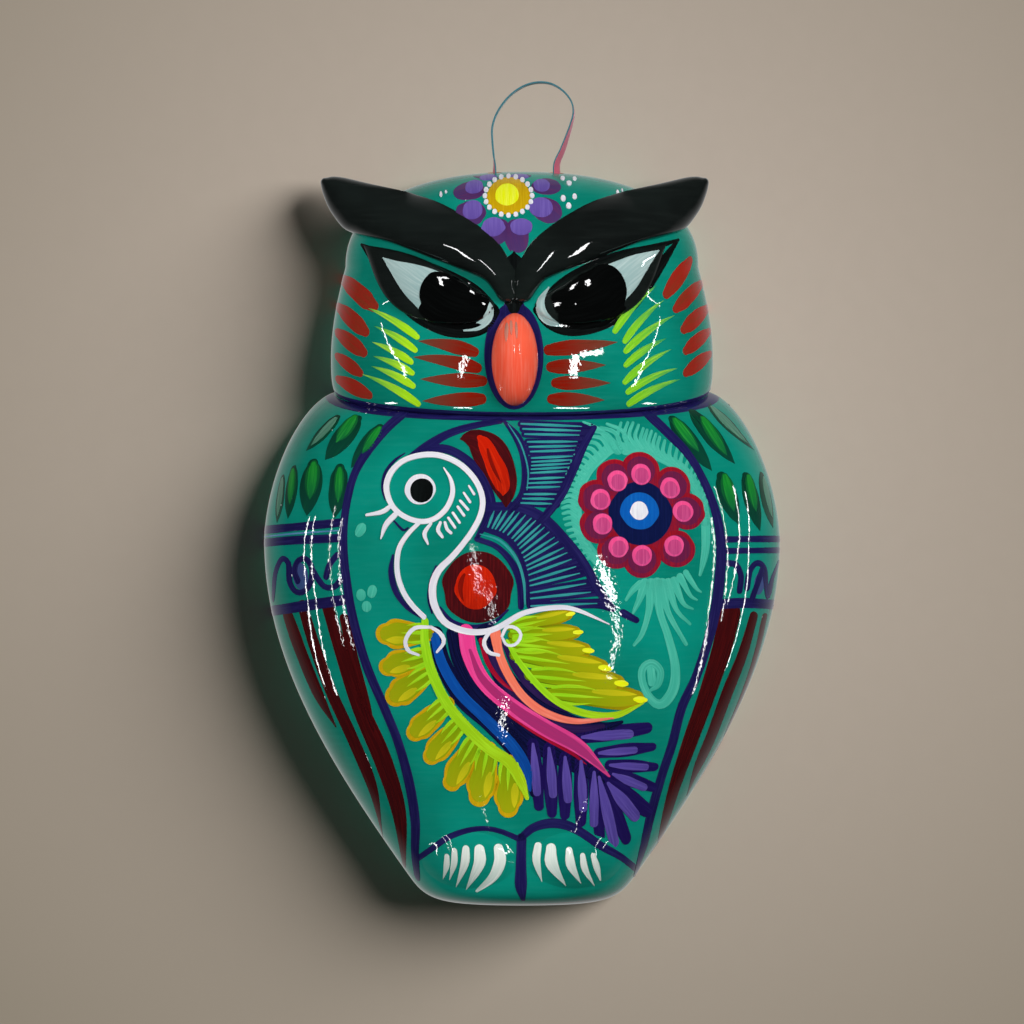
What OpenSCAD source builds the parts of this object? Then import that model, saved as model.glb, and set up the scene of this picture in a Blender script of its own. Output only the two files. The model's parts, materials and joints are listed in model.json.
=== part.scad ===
// Hanging pottery owl: two hollow pressed-clay shells open at the back, modelled clay brows,
// eyes, beak and feet luted on, and a narrow ribbon loop knotted through two holes in the crown.
// The wall plane is y = 0 and the front faces -Y. The origin is in the middle of the back rim's
// thickness, under the crown. A drop is a distance below the top of the crown.

/* [Body] */
// Crown to base
owl_height = 200; // [180:1:240]
// Width of the body at its widest
body_width = 141; // [126:1:170]
// Wall to the front of the belly
body_depth = 42; // [36:1:56]
// Drop of the body's widest level
widest_drop = 101; // [92:1:115]
// Width of the base before its edge is rounded
base_width = 51; // [40:1:70]
// Wall to front at the base
base_depth = 26; // [20:1:34]
// Height of the rounding at the base's edge
base_round = 10; // [6:0.5:16]
// Thickness of the pressed clay
wall = 5.5; // [4:0.25:6.5]

/* [Head] */
// Width across the cheeks
head_width = 104.5; // [96:0.5:120]
// Width across the temples, where the dome ends
temple_width = 96.5; // [88:0.5:104]
// Wall to the front of the cheeks
head_depth = 36; // [30:0.5:46]
// Wall to front at the forehead
forehead_depth = 33; // [28:0.5:42]
// Height of the crown's dome, seen from the front
dome_height = 26; // [20:0.5:32]
// Height of the crown's dome, seen from the side
forehead_height = 36; // [28:0.5:42]
// Drop of the widest level of the cheeks
cheek_drop = 51; // [46:0.5:54]

/* [Neck] */
// Width of the crease where the two shells are luted
neck_width = 100; // [90:0.5:103]
// Wall to front at the crease
neck_depth = 32.5; // [28:0.5:36]
// Drop of the crease at the wall
neck_drop = 60; // [58:0.5:66]
// How much lower the crease is at the front
neck_dip = 7; // [0:0.5:10]

/* [Face] */
// Sideways place of the hand-set face on the head
face_shift = -2; // [-4:0.5:4]
// Face centre to an eye's centre
eye_offset = 23.5; // [22:0.5:26]
// Drop of the middle between an eye's corners
eye_drop = 29; // [28:0.5:32]
// Length of an eye, corner to corner
eye_length = 40; // [30:0.5:42]
// Height of an eye
eye_height = 15.5; // [10:0.5:16]
// How far an eye's middle line bows down between its corners
eye_sag = 4.4; // [3:0.2:6]
// How far an eye stands out
eye_out = 3; // [1.5:0.25:5]
// Upward slant of an eye's outer corner
eye_slant = 26; // [18:1:30]
// Drop of the beak's centre
beak_drop = 52; // [49:0.5:53]
// Length of the beak
beak_length = 25; // [18:0.5:27]
// Width of the beak
beak_width = 12.5; // [8:0.5:15]
// How far the beak stands out
beak_out = 6.5; // [3:0.25:9]
// Height of a brow ridge at its middle
brow_height = 14; // [9:0.5:15]
// How far a brow ridge stands out
brow_out = 4.5; // [2.5:0.25:6]
// Face centre to a horn's tip
horn_reach = 51.5; // [48:0.5:56]
// Drop of the horn tips' middle
horn_drop = 2.6; // [1:0.2:5]
// Wall to the back of a horn
horn_setback = 7; // [4:0.5:12]
// Thickness of a horn at its root, front to back
horn_out = 8; // [5:0.5:12]

/* [Feet] */
// Middle of the owl to a foot's centre
foot_offset = 14.5; // [12:0.5:18]
// Foot's centre above the base
foot_rise = 13; // [11:0.5:18]
// Width of a foot
foot_width = 26; // [16:0.5:27]
// Height of a foot
foot_height = 16; // [10:0.5:18]
// How far a foot stands out
foot_out = 2.5; // [1:0.25:4]

/* [Ribbon] */
// Width of the ribbon
ribbon_width = 3; // [2:0.25:4]
// Radial room for the ribbon in its holes
hole_clearance = 0.5; // [0.3:0.1:1]
// Width of a stopper knot
knot_width = 7; // [6:0.25:9]
// Height of a stopper knot
knot_height = 5; // [4:0.25:7]
// Free end of ribbon below a knot
knot_tail = 8; // [4:0.5:14]
// Room between a knot and the inside of the crown
knot_room = 0.8; // [0.6:0.1:1.5]
// Gap between the loop and the tails at the bend
bend_gap = 0.3; // [0.2:0.05:0.6]

/* [Clay] */
// Slip between a luted piece and the shell under it
slip_gap = 0.2; // [0.1:0.05:0.4]
// Thickness of a luted piece at its edge
feather_edge = 0.6; // [0.3:0.1:1]

/* [Hidden] */

// Roundness of the plan, dome, cheek roll, shoulders and base edge: 2 is an ellipse
plan_power = 2.2;
dome_power = 2.3;
roll_power = 3;
shoulder_power = 1.7;
shoulder_power_inside = 1.25;
base_power = 5;

// Facets round half a ring, across a luted piece, and between two stations of a brow
ring_steps = 40;
across_steps = 10;
brow_steps = 3;
ribbon_sides = 8;
// Angle at which an oval pad's ends are cut short
oval_end = 10;

crown = wall / 2;
glaze_teal = "#0b8577";
paint_black = "#14181a";
paint_coral = "#f0644a";
ribbon_teal = "#2f9fb0";

// The loop's middle line, x and y absolute, z above the crown, from hole to hole
loop_route = [
    [-7.5, -5, 2], [-7.8, -5, 5], [-8.1, -4.8, 8.5], [-8.1, -4.5, 12], [-7, -4, 15.5],
    [-5, -3.6, 18.7], [-2.4, -3.2, 21.4], [0.8, -2.8, 23.4], [4.4, -2.6, 24.3],
    [8, -2.6, 23.9], [11.2, -2.8, 22], [13.4, -3.2, 19.2], [14.2, -3.6, 16],
    [13.9, -4, 12.6], [12.9, -4.5, 9.2], [11.2, -4.8, 5.6], [9.5, -5, 2]
];
hole_left = loop_route[0];
hole_right = loop_route[len(loop_route) - 1];

function unit(v) = v / norm(v);

// A quarter superellipse: 1 at t = 0, 0 at t = 1
function rounded(t, power) =
    pow(max(0, 1 - pow(max(0, min(1, t)), power)), 1 / power);

// Half-size of the head at drop h, for a surface whose own crown is at drop top
function head_curve(h, top, dome, temple, cheek, neck) =
    h < dome ? temple * rounded((dome - h) / (dome - top), dome_power)
    : h < cheek_drop ? temple + (cheek - temple) * sin(90 * (h - dome) / (cheek_drop - dome))
    : neck + (cheek - neck) * rounded((h - cheek_drop) / (neck_drop - cheek_drop), roll_power);

// Half-size of the body at drop h, for a surface whose own base is at drop bottom
function body_curve(h, bottom, neck, widest, base, power) =
    rounded((h - bottom + base_round) / base_round, base_power)
    * (h < widest_drop
        ? neck + (widest - neck) * rounded((widest_drop - h) / (widest_drop - neck_drop), power)
        : base + (widest - base) * cos(90 * (h - widest_drop) / (owl_height - widest_drop)));

// Half-width and depth of each shell at drop h, t inside its outer skin
function head_size(h, t) = [
    head_curve(h, t, dome_height, temple_width / 2 - t, head_width / 2 - t, neck_width / 2 - t),
    head_curve(h, t, forehead_height, forehead_depth - t, head_depth - t, neck_depth - t)
];
function body_size(h, t) =
    let (bottom = owl_height - t, power = t > 0 ? shoulder_power_inside : shoulder_power)
    [
        body_curve(h, bottom, neck_width / 2 - t, body_width / 2 - t, base_width / 2 - t, power),
        body_curve(h, bottom, neck_depth - t, body_depth - t, base_depth - t, power)
    ];

// Forward slope of a ring's plane, full at the crease and fading away from it
function head_slope(h) =
    neck_dip / neck_depth * pow(max(0, (h - dome_height) / (neck_drop - dome_height)), 2);
function body_slope(h) =
    neck_dip / neck_depth * pow(max(0, (widest_drop - h) / (widest_drop - neck_drop)), 2);

// A ring of points round the front, from the right rim to the left rim
function ring(size, h, slope) = [
    for (j = [0 : ring_steps])
        let (
            a = 180 * j / ring_steps,
            x = size[0] * sign(cos(a)) * pow(abs(cos(a)), 2 / plan_power),
            y = j == 0 || j == ring_steps ? 0 : -size[1] * pow(sin(a), 2 / plan_power)
        )
        [x, y, crown - h + slope * y]
];

// Depth of a skin at x, and the drop of its ring that passes through height z there
function depth_at(size, x) = size[1] * rounded(abs(x) / size[0], plan_power);
function head_ring_at(x, z, h, turns) =
    turns == 0 ? h
    : head_ring_at(x, z, crown - z - head_slope(h) * depth_at(head_size(h, 0), x), turns - 1);

// Where a luted piece is seated: the slip's thickness off the skin
function face_depth(x, z) =
    depth_at(head_size(head_ring_at(x, z, crown - z, 6), -slip_gap), x);
function horned_depth(x, z) = max(horn_setback, face_depth(x, z));
function belly_depth(x, z) = depth_at(body_size(crown - z, -slip_gap), x);

// A hollow shell, open at the back and at the neck, from rings that end in one point
module half_shell(outer_rings, outer_end, inner_rings, inner_end) {
    rows = len(outer_rings);
    stride = ring_steps + 1;
    skin = rows * stride + 1;
    function at(side, i, j) = side * skin + (i < rows ? i * stride + j : rows * stride);
    outside = [
        for (i = [0 : rows - 1], j = [0 : ring_steps - 1])
            each [
                [at(0, i, j), at(0, i, j + 1), at(0, i + 1, j)],
                if (i < rows - 1) [at(0, i, j + 1), at(0, i + 1, j + 1), at(0, i + 1, j)]
            ]
    ];
    inside = [
        for (i = [0 : rows - 1], j = [0 : ring_steps - 1])
            each [
                [at(1, i, j), at(1, i + 1, j), at(1, i, j + 1)],
                if (i < rows - 1) [at(1, i, j + 1), at(1, i + 1, j), at(1, i + 1, j + 1)]
            ]
    ];
    right_rim = [
        for (i = [0 : rows - 1])
            each [
                [at(0, i, 0), at(0, i + 1, 0), at(1, i, 0)],
                [at(0, i + 1, 0), at(1, i + 1, 0), at(1, i, 0)]
            ]
    ];
    left_rim = [
        for (i = [0 : rows - 1], j = [ring_steps])
            each [
                [at(0, i, j), at(1, i, j), at(0, i + 1, j)],
                [at(0, i + 1, j), at(1, i, j), at(1, i + 1, j)]
            ]
    ];
    neck_rim = [
        for (j = [0 : ring_steps - 1])
            each [
                [at(0, 0, j), at(1, 0, j), at(0, 0, j + 1)],
                [at(0, 0, j + 1), at(1, 0, j), at(1, 0, j + 1)]
            ]
    ];
    polyhedron(
        points = concat(
            [for (r = outer_rings) each r], [outer_end],
            [for (r = inner_rings) each r], [inner_end]
        ),
        faces = concat(outside, inside, right_rim, left_rim, neck_rim)
    );
}

// A closed solid through rings of an even count of points, with flat-strip ends
module loft(rings) {
    sides = len(rings[0]);
    half = sides / 2;
    last = len(rings) - 1;
    walls = [
        for (i = [0 : last - 1], j = [0 : sides - 1])
            let (a = i * sides, b = a + sides, k = (j + 1) % sides)
            each [[a + j, b + j, a + k], [a + k, b + j, b + k]]
    ];
    first_end = [
        for (j = [0 : half - 2])
            each [
                [j, j + 1, sides - 1 - j],
                [j + 1, sides - 2 - j, sides - 1 - j]
            ]
    ];
    last_end = [for (f = first_end) [for (k = [2, 1, 0]) last * sides + f[k]]];
    polyhedron(
        points = [for (r = rings) each r],
        faces = concat(first_end, walls, last_end)
    );
}

// A smooth run through stations, with the given steps from one to the next
function smooth(p, steps) =
    let (last = len(p) - 1)
    concat(
        [
            for (i = [0 : last - 1], k = [0 : steps - 1])
                let (
                    t = k / steps,
                    a = p[max(0, i - 1)],
                    b = p[i],
                    c = p[i + 1],
                    d = p[min(last, i + 2)]
                )
                (2 * b + (c - a) * t + (2 * a - 5 * b + 4 * c - d) * t * t
                    + (3 * b - a - 3 * c + d) * t * t * t) / 2
        ],
        [p[last]]
    );

// A modelled ridge seated on a skin. A station is [x, z, half-height, height it stands out]
module ridge(stations, skin_depth) {
    last = len(stations) - 1;
    function front(v, out) = feather_edge + (out - feather_edge) * sqrt(max(0, 1 - v * v));
    rings = [
        for (i = [0 : last])
            let (
                s = stations[i],
                step = stations[min(last, i + 1)] - stations[max(0, i - 1)],
                run = unit([step[0], step[1]]),
                row = [
                    for (k = [0 : across_steps])
                        let (v = 2 * k / across_steps - 1)
                        [s[0] - v * s[2] * run[1], s[1] + v * s[2] * run[0], front(v, s[3])]
                ]
            )
            concat(
                [for (p = row) [p[0], -skin_depth(p[0], p[1]) - p[2], p[1]]],
                [
                    for (k = [across_steps : -1 : 0])
                        [row[k][0], -skin_depth(row[k][0], row[k][1]), row[k][1]]
                ]
            )
    ];
    loft(rings);
}

// Stations of an oval pad, long axis turned by slant, middle line bowed down by sag
function oval(x, z, length, height, out, slant, sag, steps) = [
    for (i = [0 : steps])
        let (
            a = oval_end + (180 - 2 * oval_end) * i / steps,
            along = -cos(a) * length / 2,
            down = sag * sin(a)
        )
        [
            x + along * cos(slant) + down * sin(slant), z + along * sin(slant) - down * cos(slant),
            height / 2 * sin(a), out * pow(sin(a), 0.7)
        ]
];

// A tube along a route, with the given radius at each point
module tube(route, radii) {
    last = len(route) - 1;
    rings = [
        for (i = [0 : last])
            let (
                run = unit(route[min(last, i + 1)] - route[max(0, i - 1)]),
                side = unit(cross(run, [0, 1, 0])),
                rise = cross(side, run)
            )
            [
                for (k = [0 : ribbon_sides - 1])
                    let (a = 360 * (k + 0.5) / ribbon_sides)
                    route[i] + radii[i] * (cos(a) * side + sin(a) * rise)
            ]
    ];
    loft(rings);
}

// Drops of the head's and body's rings, close together where the skin turns
head_drops = concat(
    [for (i = [0 : 4]) neck_drop - (neck_drop - cheek_drop) * (1 - cos(18 * i))],
    [for (i = [1 : 5]) cheek_drop + (dome_height - cheek_drop) * i / 5],
    [for (i = [1 : 9]) dome_height * (1 - sin(9.5 * i))]
);
body_drops = concat(
    [for (i = [0 : 8]) neck_drop + (widest_drop - neck_drop) * (1 - cos(11.25 * i))],
    [for (i = [1 : 12]) widest_drop + (owl_height - base_round - widest_drop) * i / 12],
    [for (i = [1 : 6]) owl_height - base_round + base_round * sin(14 * i)]
);

module ribbon_hole(at) {
    translate([at[0], at[1], crown - 2 * wall])
        cylinder(d = ribbon_width + 2 * hole_clearance, h = 3 * wall, $fn = 32);
}

module head_shell() {
    reach = (neck_drop - wall) / neck_drop;
    color(glaze_teal)
        difference() {
            half_shell(
                [for (h = head_drops) ring(head_size(h, 0), h, head_slope(h))],
                [0, 0, crown],
                [
                    for (d = head_drops)
                        let (h = wall + d * reach)
                        ring(head_size(h, wall), h, head_slope(h))
                ],
                [0, 0, crown - wall]
            );
            ribbon_hole(hole_left);
            ribbon_hole(hole_right);
        }
}

module body_shell() {
    reach = (owl_height - wall - neck_drop) / (owl_height - neck_drop);
    color(glaze_teal)
        half_shell(
            [for (h = body_drops) ring(body_size(h, 0), h, body_slope(h))],
            [0, 0, crown - owl_height],
            [
                for (d = body_drops)
                    let (h = neck_drop + (d - neck_drop) * reach)
                    ring(body_size(h, wall), h, body_slope(h))
            ],
            [0, 0, crown - owl_height + wall]
        );
}

// A brow runs from its horn's tip to the bridge over the beak: [across, drop, half-height, out]
brow_half = brow_height / 2;
brow_stations = [
    [horn_reach, horn_drop, brow_half * 0.18, horn_out * 0.4],
    [horn_reach - 1.6, horn_drop + 1.7, brow_half * 0.48, horn_out * 0.6],
    [horn_reach - 4.9, horn_drop + 5, brow_half * 0.81, horn_out * 0.85],
    [horn_reach - 8.8, horn_drop + 7.6, brow_half, horn_out],
    [horn_reach - 14.8, horn_drop + 8.9, brow_half * 0.95, (horn_out + brow_out) / 2],
    [30, 13, brow_half * 0.97, brow_out],
    [23.5, 15.4, brow_half * 0.97, brow_out],
    [18, 18.2, brow_half * 0.93, brow_out],
    [13, 21.2, brow_half * 0.88, brow_out],
    [8.2, 24.6, brow_half * 0.8, brow_out],
    [4.8, 28, brow_half * 0.58, brow_out * 0.9],
    [2.6, 31.8, brow_half * 0.3, brow_out * 0.6]
];

module brow(side) {
    color(paint_black)
        ridge(
            [
                for (s = smooth(brow_stations, brow_steps))
                    [face_shift + side * s[0], crown - s[1], side * s[2], s[3]]
            ],
            function(x, z) horned_depth(x, z)
        );
}

module eye(side) {
    color(paint_black)
        ridge(
            oval(
                face_shift + side * eye_offset, crown - eye_drop, eye_length, eye_height,
                eye_out, side * eye_slant, eye_sag, 16
            ),
            function(x, z) face_depth(x, z)
        );
}

module beak() {
    color(paint_coral)
        ridge(
            oval(face_shift, crown - beak_drop, beak_length, beak_width, beak_out, 90, 0, 14),
            function(x, z) face_depth(x, z)
        );
}

module foot(side) {
    color(glaze_teal)
        ridge(
            oval(
                side * foot_offset, crown - owl_height + foot_rise, foot_width, foot_height,
                foot_out, 0, 0, 12
            ),
            function(x, z) belly_depth(x, z)
        );
}

module ribbon_loop() {
    rise = [0, 0, crown];
    r = ribbon_width / 2;
    last = len(loop_route) - 1;
    // The ends are round about the bend, so that the loop turns in place
    end_left = [for (a = [75, 50, 25]) hole_left + rise - [0, 0, r * sin(a)]];
    end_right = [for (a = [25, 50, 75]) hole_right + rise - [0, 0, r * sin(a)]];
    color(ribbon_teal)
        tube(
            concat(end_left, [for (p = loop_route) p + rise], end_right),
            concat(
                [for (a = [75, 50, 25]) r * cos(a)],
                [for (i = [0 : last]) r],
                [for (a = [25, 50, 75]) r * cos(a)]
            )
        );
}

knot_top = crown - wall - knot_room;

module ribbon_tail(at) {
    top = crown + at[2] - ribbon_width / 2 - bend_gap;
    color(ribbon_teal)
        translate([at[0], at[1], knot_top])
            cylinder(d = ribbon_width, h = top - knot_top, $fn = ribbon_sides);
}

module knot(at) {
    r = ribbon_width / 2;
    k = knot_width / 2;
    low = [at[0], at[1], knot_top];
    color(ribbon_teal)
        tube(
            [
                low, low - [0, 0, knot_height * 0.2], low - [0, 0, knot_height * 0.5],
                low - [0, 0, knot_height * 0.8], low - [0, 0, knot_height],
                low - [0, 0, knot_height + knot_tail]
            ],
            [r, k * 0.85, k, k * 0.85, r, r]
        );
}

head_shell();
body_shell();
brow(-1);  // brow_left
brow(1);  // brow_right
eye(-1);  // eye_left
eye(1);  // eye_right
beak();
foot(-1);  // foot_left
foot(1);  // foot_right
ribbon_loop();
ribbon_tail(hole_left);  // ribbon_tail_left
ribbon_tail(hole_right);  // ribbon_tail_right
knot(hole_left);  // knot_left
knot(hole_right);  // knot_right
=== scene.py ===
import json
import math

import bmesh
import bpy
import numpy as np
from mathutils import Matrix, Vector, noise

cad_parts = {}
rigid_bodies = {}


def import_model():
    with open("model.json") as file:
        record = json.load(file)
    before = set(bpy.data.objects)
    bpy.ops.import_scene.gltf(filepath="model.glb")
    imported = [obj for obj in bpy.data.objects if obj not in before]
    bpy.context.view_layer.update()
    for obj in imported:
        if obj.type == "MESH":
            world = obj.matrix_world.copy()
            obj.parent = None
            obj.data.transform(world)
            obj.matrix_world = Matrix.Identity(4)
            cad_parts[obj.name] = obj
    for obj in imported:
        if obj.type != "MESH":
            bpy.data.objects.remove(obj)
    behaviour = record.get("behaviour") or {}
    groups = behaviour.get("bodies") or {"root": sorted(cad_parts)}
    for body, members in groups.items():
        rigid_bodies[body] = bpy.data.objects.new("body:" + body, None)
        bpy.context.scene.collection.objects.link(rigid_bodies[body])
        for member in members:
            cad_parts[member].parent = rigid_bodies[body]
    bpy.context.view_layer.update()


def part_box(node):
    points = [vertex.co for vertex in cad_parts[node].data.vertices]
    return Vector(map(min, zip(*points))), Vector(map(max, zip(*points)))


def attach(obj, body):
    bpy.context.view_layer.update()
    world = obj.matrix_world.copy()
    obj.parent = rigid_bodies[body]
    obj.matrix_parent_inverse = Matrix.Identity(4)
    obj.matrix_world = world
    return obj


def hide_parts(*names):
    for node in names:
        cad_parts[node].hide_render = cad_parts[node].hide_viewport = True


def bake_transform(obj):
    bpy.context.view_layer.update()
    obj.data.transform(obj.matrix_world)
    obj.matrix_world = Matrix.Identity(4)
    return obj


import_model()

# Sizes are millimetres in the part's frame: the wall is y = 0, the front faces -Y, and a drop is a
# distance below the top of the crown. What the frame shows is measured on it, and the rest repeats
# the values that shape the two shells.
MM = 0.001
head_low, head_high = (np.array(corner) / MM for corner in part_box("head_shell"))
body_low, body_high = (np.array(corner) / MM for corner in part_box("body_shell"))
CROWN = head_high[2]
WALL = 2 * CROWN
OWL_HEIGHT = CROWN - body_low[2]
BODY_WIDTH = body_high[0] - body_low[0]
BODY_DEPTH = -body_low[1]
HEAD_WIDTH = head_high[0] - head_low[0]
HEAD_DEPTH = -head_low[1]
WIDEST_DROP = 101
BASE_WIDTH = 51
BASE_DEPTH = 26
BASE_ROUND = 10
TEMPLE_WIDTH = 96.5
FOREHEAD_DEPTH = 33
DOME_HEIGHT = 26
FOREHEAD_HEIGHT = 36
CHEEK_DROP = 51
NECK_WIDTH = 100
NECK_DEPTH = 32.5
NECK_DROP = 60
NECK_DIP = 7
PLAN_POWER = 2.2
DOME_POWER = 2.3
ROLL_POWER = 3
SHOULDER_POWER = 1.7
SHOULDER_POWER_INSIDE = 1.25
BASE_POWER = 5

FACE_SHIFT = -2
EYE_OFFSET = 23.5
EYE_DROP = 29
EYE_LENGTH = 40
EYE_HEIGHT = 15.5
EYE_SAG = 4.4
EYE_OUT = 3
EYE_SLANT = math.radians(26)
BEAK_DROP = 52
BEAK_LENGTH = 25
BEAK_WIDTH = 12.5
BEAK_OUT = 6.5
BROW_HALF = 7
BROW_OUT = 4.5
HORN_OUT = 8
HORN_SETBACK = 7
FOOT_OFFSET = 14.5
FOOT_RISE = 13
FOOT_WIDTH = 26
FOOT_HEIGHT = 16
FOOT_OUT = 2.5
FOOT_POWER = 1.2
BEAK_POWER = 0.5
FOOT_Z = CROWN - OWL_HEIGHT + FOOT_RISE
BEAK_Z = CROWN - BEAK_DROP
FOOT_SHAPE = (FOOT_WIDTH / 2, FOOT_HEIGHT / 2, FOOT_OUT, FOOT_POWER)
BEAK_SHAPE = (BEAK_WIDTH / 2, BEAK_LENGTH / 2, BEAK_OUT, BEAK_POWER)

# The photo's pixels: the owl's middle line, its crown and its height
PHOTO_WIDTH = 1024
AXIS_PX = 522
CROWN_PX = 172
OWL_HEIGHT_PX = 731
MM_PER_PX = OWL_HEIGHT / OWL_HEIGHT_PX
CAMERA_DISTANCE = 2000
SENSOR = 36
VIEW_X = (PHOTO_WIDTH / 2 - AXIS_PX) * MM_PER_PX
VIEW_Z = CROWN - (PHOTO_WIDTH / 2 - CROWN_PX) * MM_PER_PX

# Paint: thickness of a brush stroke, of each layer over the last, and how deep its edge is let in
STROKE_THICK = 0.05
LAYER_STEP = 0.03
EDGE_SINK = 0.06
EDGE_WIDTH = 0.07
STROKE_STEP = 0.7
# Unevenness of the hand, the least share of a stroke's width that shows where the skin turns away,
# and the most columns across a stroke
HAND = 0.05
SEEN_LEAST = 0.4
COLUMNS_MOST = 61

draws = np.random.default_rng(11)


# Skins of the two shells, and the rounds in which a point settles on one
SETTLING = 10


def unit(vectors):
    return vectors / np.maximum(np.linalg.norm(vectors, axis=-1, keepdims=True), 1e-9)


def rounded(t, power):
    """A quarter superellipse: 1 at t = 0, 0 at t = 1."""
    return (1 - np.clip(t, 0, 1) ** power) ** (1 / power)


def head_curve(h, top, dome, temple, cheek, neck):
    over = temple * rounded((dome - h) / (dome - top), DOME_POWER)
    rise = np.clip((h - dome) / (CHEEK_DROP - dome), 0, 1)
    side = temple + (cheek - temple) * np.sin(np.pi / 2 * rise)
    roll = neck + (cheek - neck) * rounded((h - CHEEK_DROP) / (NECK_DROP - CHEEK_DROP), ROLL_POWER)
    return np.where(h < dome, over, np.where(h < CHEEK_DROP, side, roll))


def body_curve(h, bottom, neck, widest, base, power):
    shoulder = rounded((WIDEST_DROP - h) / (WIDEST_DROP - NECK_DROP), power)
    fall = np.clip((h - WIDEST_DROP) / (OWL_HEIGHT - WIDEST_DROP), 0, 1)
    upper = neck + (widest - neck) * shoulder
    lower = base + (widest - base) * np.cos(np.pi / 2 * fall)
    edge = rounded((h - bottom + BASE_ROUND) / BASE_ROUND, BASE_POWER)
    return edge * np.where(h < WIDEST_DROP, upper, lower)


def ring_size(shell, h, inset=0.0):
    """Half-width and depth of a shell at drop h, inset from its outer skin."""
    if shell == "head":
        width = head_curve(h, inset, DOME_HEIGHT, TEMPLE_WIDTH / 2 - inset, HEAD_WIDTH / 2 - inset,
                           NECK_WIDTH / 2 - inset)
        depth = head_curve(h, inset, FOREHEAD_HEIGHT, FOREHEAD_DEPTH - inset, HEAD_DEPTH - inset,
                           NECK_DEPTH - inset)
        return width, depth
    power = SHOULDER_POWER_INSIDE if inset else SHOULDER_POWER
    bottom = OWL_HEIGHT - inset
    width = body_curve(h, bottom, NECK_WIDTH / 2 - inset, BODY_WIDTH / 2 - inset,
                       BASE_WIDTH / 2 - inset, power)
    depth = body_curve(h, bottom, NECK_DEPTH - inset, BODY_DEPTH - inset, BASE_DEPTH - inset, power)
    return width, depth


def ring_slope(shell, h):
    """How much a ring's plane falls towards the front."""
    far = DOME_HEIGHT if shell == "head" else WIDEST_DROP
    return NECK_DIP / NECK_DEPTH * np.clip((h - far) / (NECK_DROP - far), 0, 1) ** 2


def ring_point(shell, angle, h, inset=0.0):
    """A point of a ring, angle 0 at the right rim and pi at the left rim."""
    width, depth = ring_size(shell, h, inset)
    cos, sin = np.cos(angle), np.clip(np.sin(angle), 0, 1)
    x = width * np.sign(cos) * np.abs(cos) ** (2 / PLAN_POWER)
    y = -depth * sin ** (2 / PLAN_POWER)
    return np.stack([x, y, CROWN - h + ring_slope(shell, h) * y], axis=-1)


def ring_drop(shell, y, z):
    """Drop of the shell's ring that passes through a point."""
    low, high = (0.3, NECK_DROP) if shell == "head" else (NECK_DROP, OWL_HEIGHT - 0.05)
    h = np.clip(CROWN - z, low, high)
    for _ in range(8):
        h = np.clip(CROWN - z + ring_slope(shell, h) * y, low, high)
    return h


def fullness(shell, points):
    """1 on the skin, more outside it."""
    x, y, z = points.T
    width, depth = ring_size(shell, ring_drop(shell, y, z))
    return (np.abs(x) / width) ** PLAN_POWER + (np.abs(y) / depth) ** PLAN_POWER


def on_skin(shell, points):
    """Points moved to the skin, square to the owl's long axis."""
    points = points.copy()
    points[:, 1] = np.minimum(points[:, 1], 0)
    for _ in range(4):
        points[:, :2] *= fullness(shell, points)[:, None] ** (-1 / PLAN_POWER)
    return points


def skin_normal(shell, points):
    step = 0.05
    slopes = [fullness(shell, points + step * axis) - fullness(shell, points - step * axis)
              for axis in np.eye(3)]
    return unit(np.stack(slopes, axis=-1))


def skin_step(shell, x, depth, z):
    """A closer depth of the skin at a point of the front view, from a rough one."""
    width, full = ring_size(shell, ring_drop(shell, -depth, z))
    return full * rounded(np.abs(x) / width, PLAN_POWER)


def skin_depth(shell, x, z):
    """Distance of the skin from the wall, straight behind a point of the front view."""
    depth = np.zeros_like(x)
    for _ in range(SETTLING):
        depth = skin_step(shell, x, depth, z)
    return depth


# Mesh helpers

def make_piece(name, points, faces, materials, slot, node=None, body="owl", values=None):
    """A mesh piece from millimetres, with its paint attributes, riding on a body."""
    mesh = bpy.data.meshes.new(name)
    mesh.from_pydata((np.asarray(points) * MM).tolist(), [], faces)
    for key, value in (values or {}).items():
        mesh.attributes.new(key, "FLOAT", "POINT").data.foreach_set("value", value.astype(np.float32))
    clean = bmesh.new()
    clean.from_mesh(mesh)
    bmesh.ops.remove_doubles(clean, verts=clean.verts, dist=0.002 * MM)
    bmesh.ops.dissolve_degenerate(clean, edges=clean.edges, dist=0.001 * MM)
    bmesh.ops.recalc_face_normals(clean, faces=clean.faces)
    clean.to_mesh(mesh)
    clean.free()
    for material in materials:
        mesh.materials.append(material)
    mesh.shade_smooth()
    piece = bpy.data.objects.new(name, mesh)
    bpy.context.collection.objects.link(piece)
    if body:
        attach(piece, body)
    if node:
        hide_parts(node)
    return piece


def loft(loops):
    """Points and faces of a closed tube through loops, with a fan on each end."""
    rows, sides, _ = loops.shape
    ends = np.stack([loops[0].mean(axis=0), loops[-1].mean(axis=0)])
    points = np.concatenate([loops.reshape(-1, 3), ends])
    first, last = rows * sides, rows * sides + 1
    faces = []
    for i in range(rows - 1):
        for j in range(sides):
            k = (j + 1) % sides
            a = i * sides
            faces.append((a + j, a + sides + j, a + sides + k, a + k))
    for j in range(sides):
        k = (j + 1) % sides
        tail = (rows - 1) * sides
        faces.append((first, j, k))
        faces.append((last, tail + k, tail + j))
    return points, faces


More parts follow.
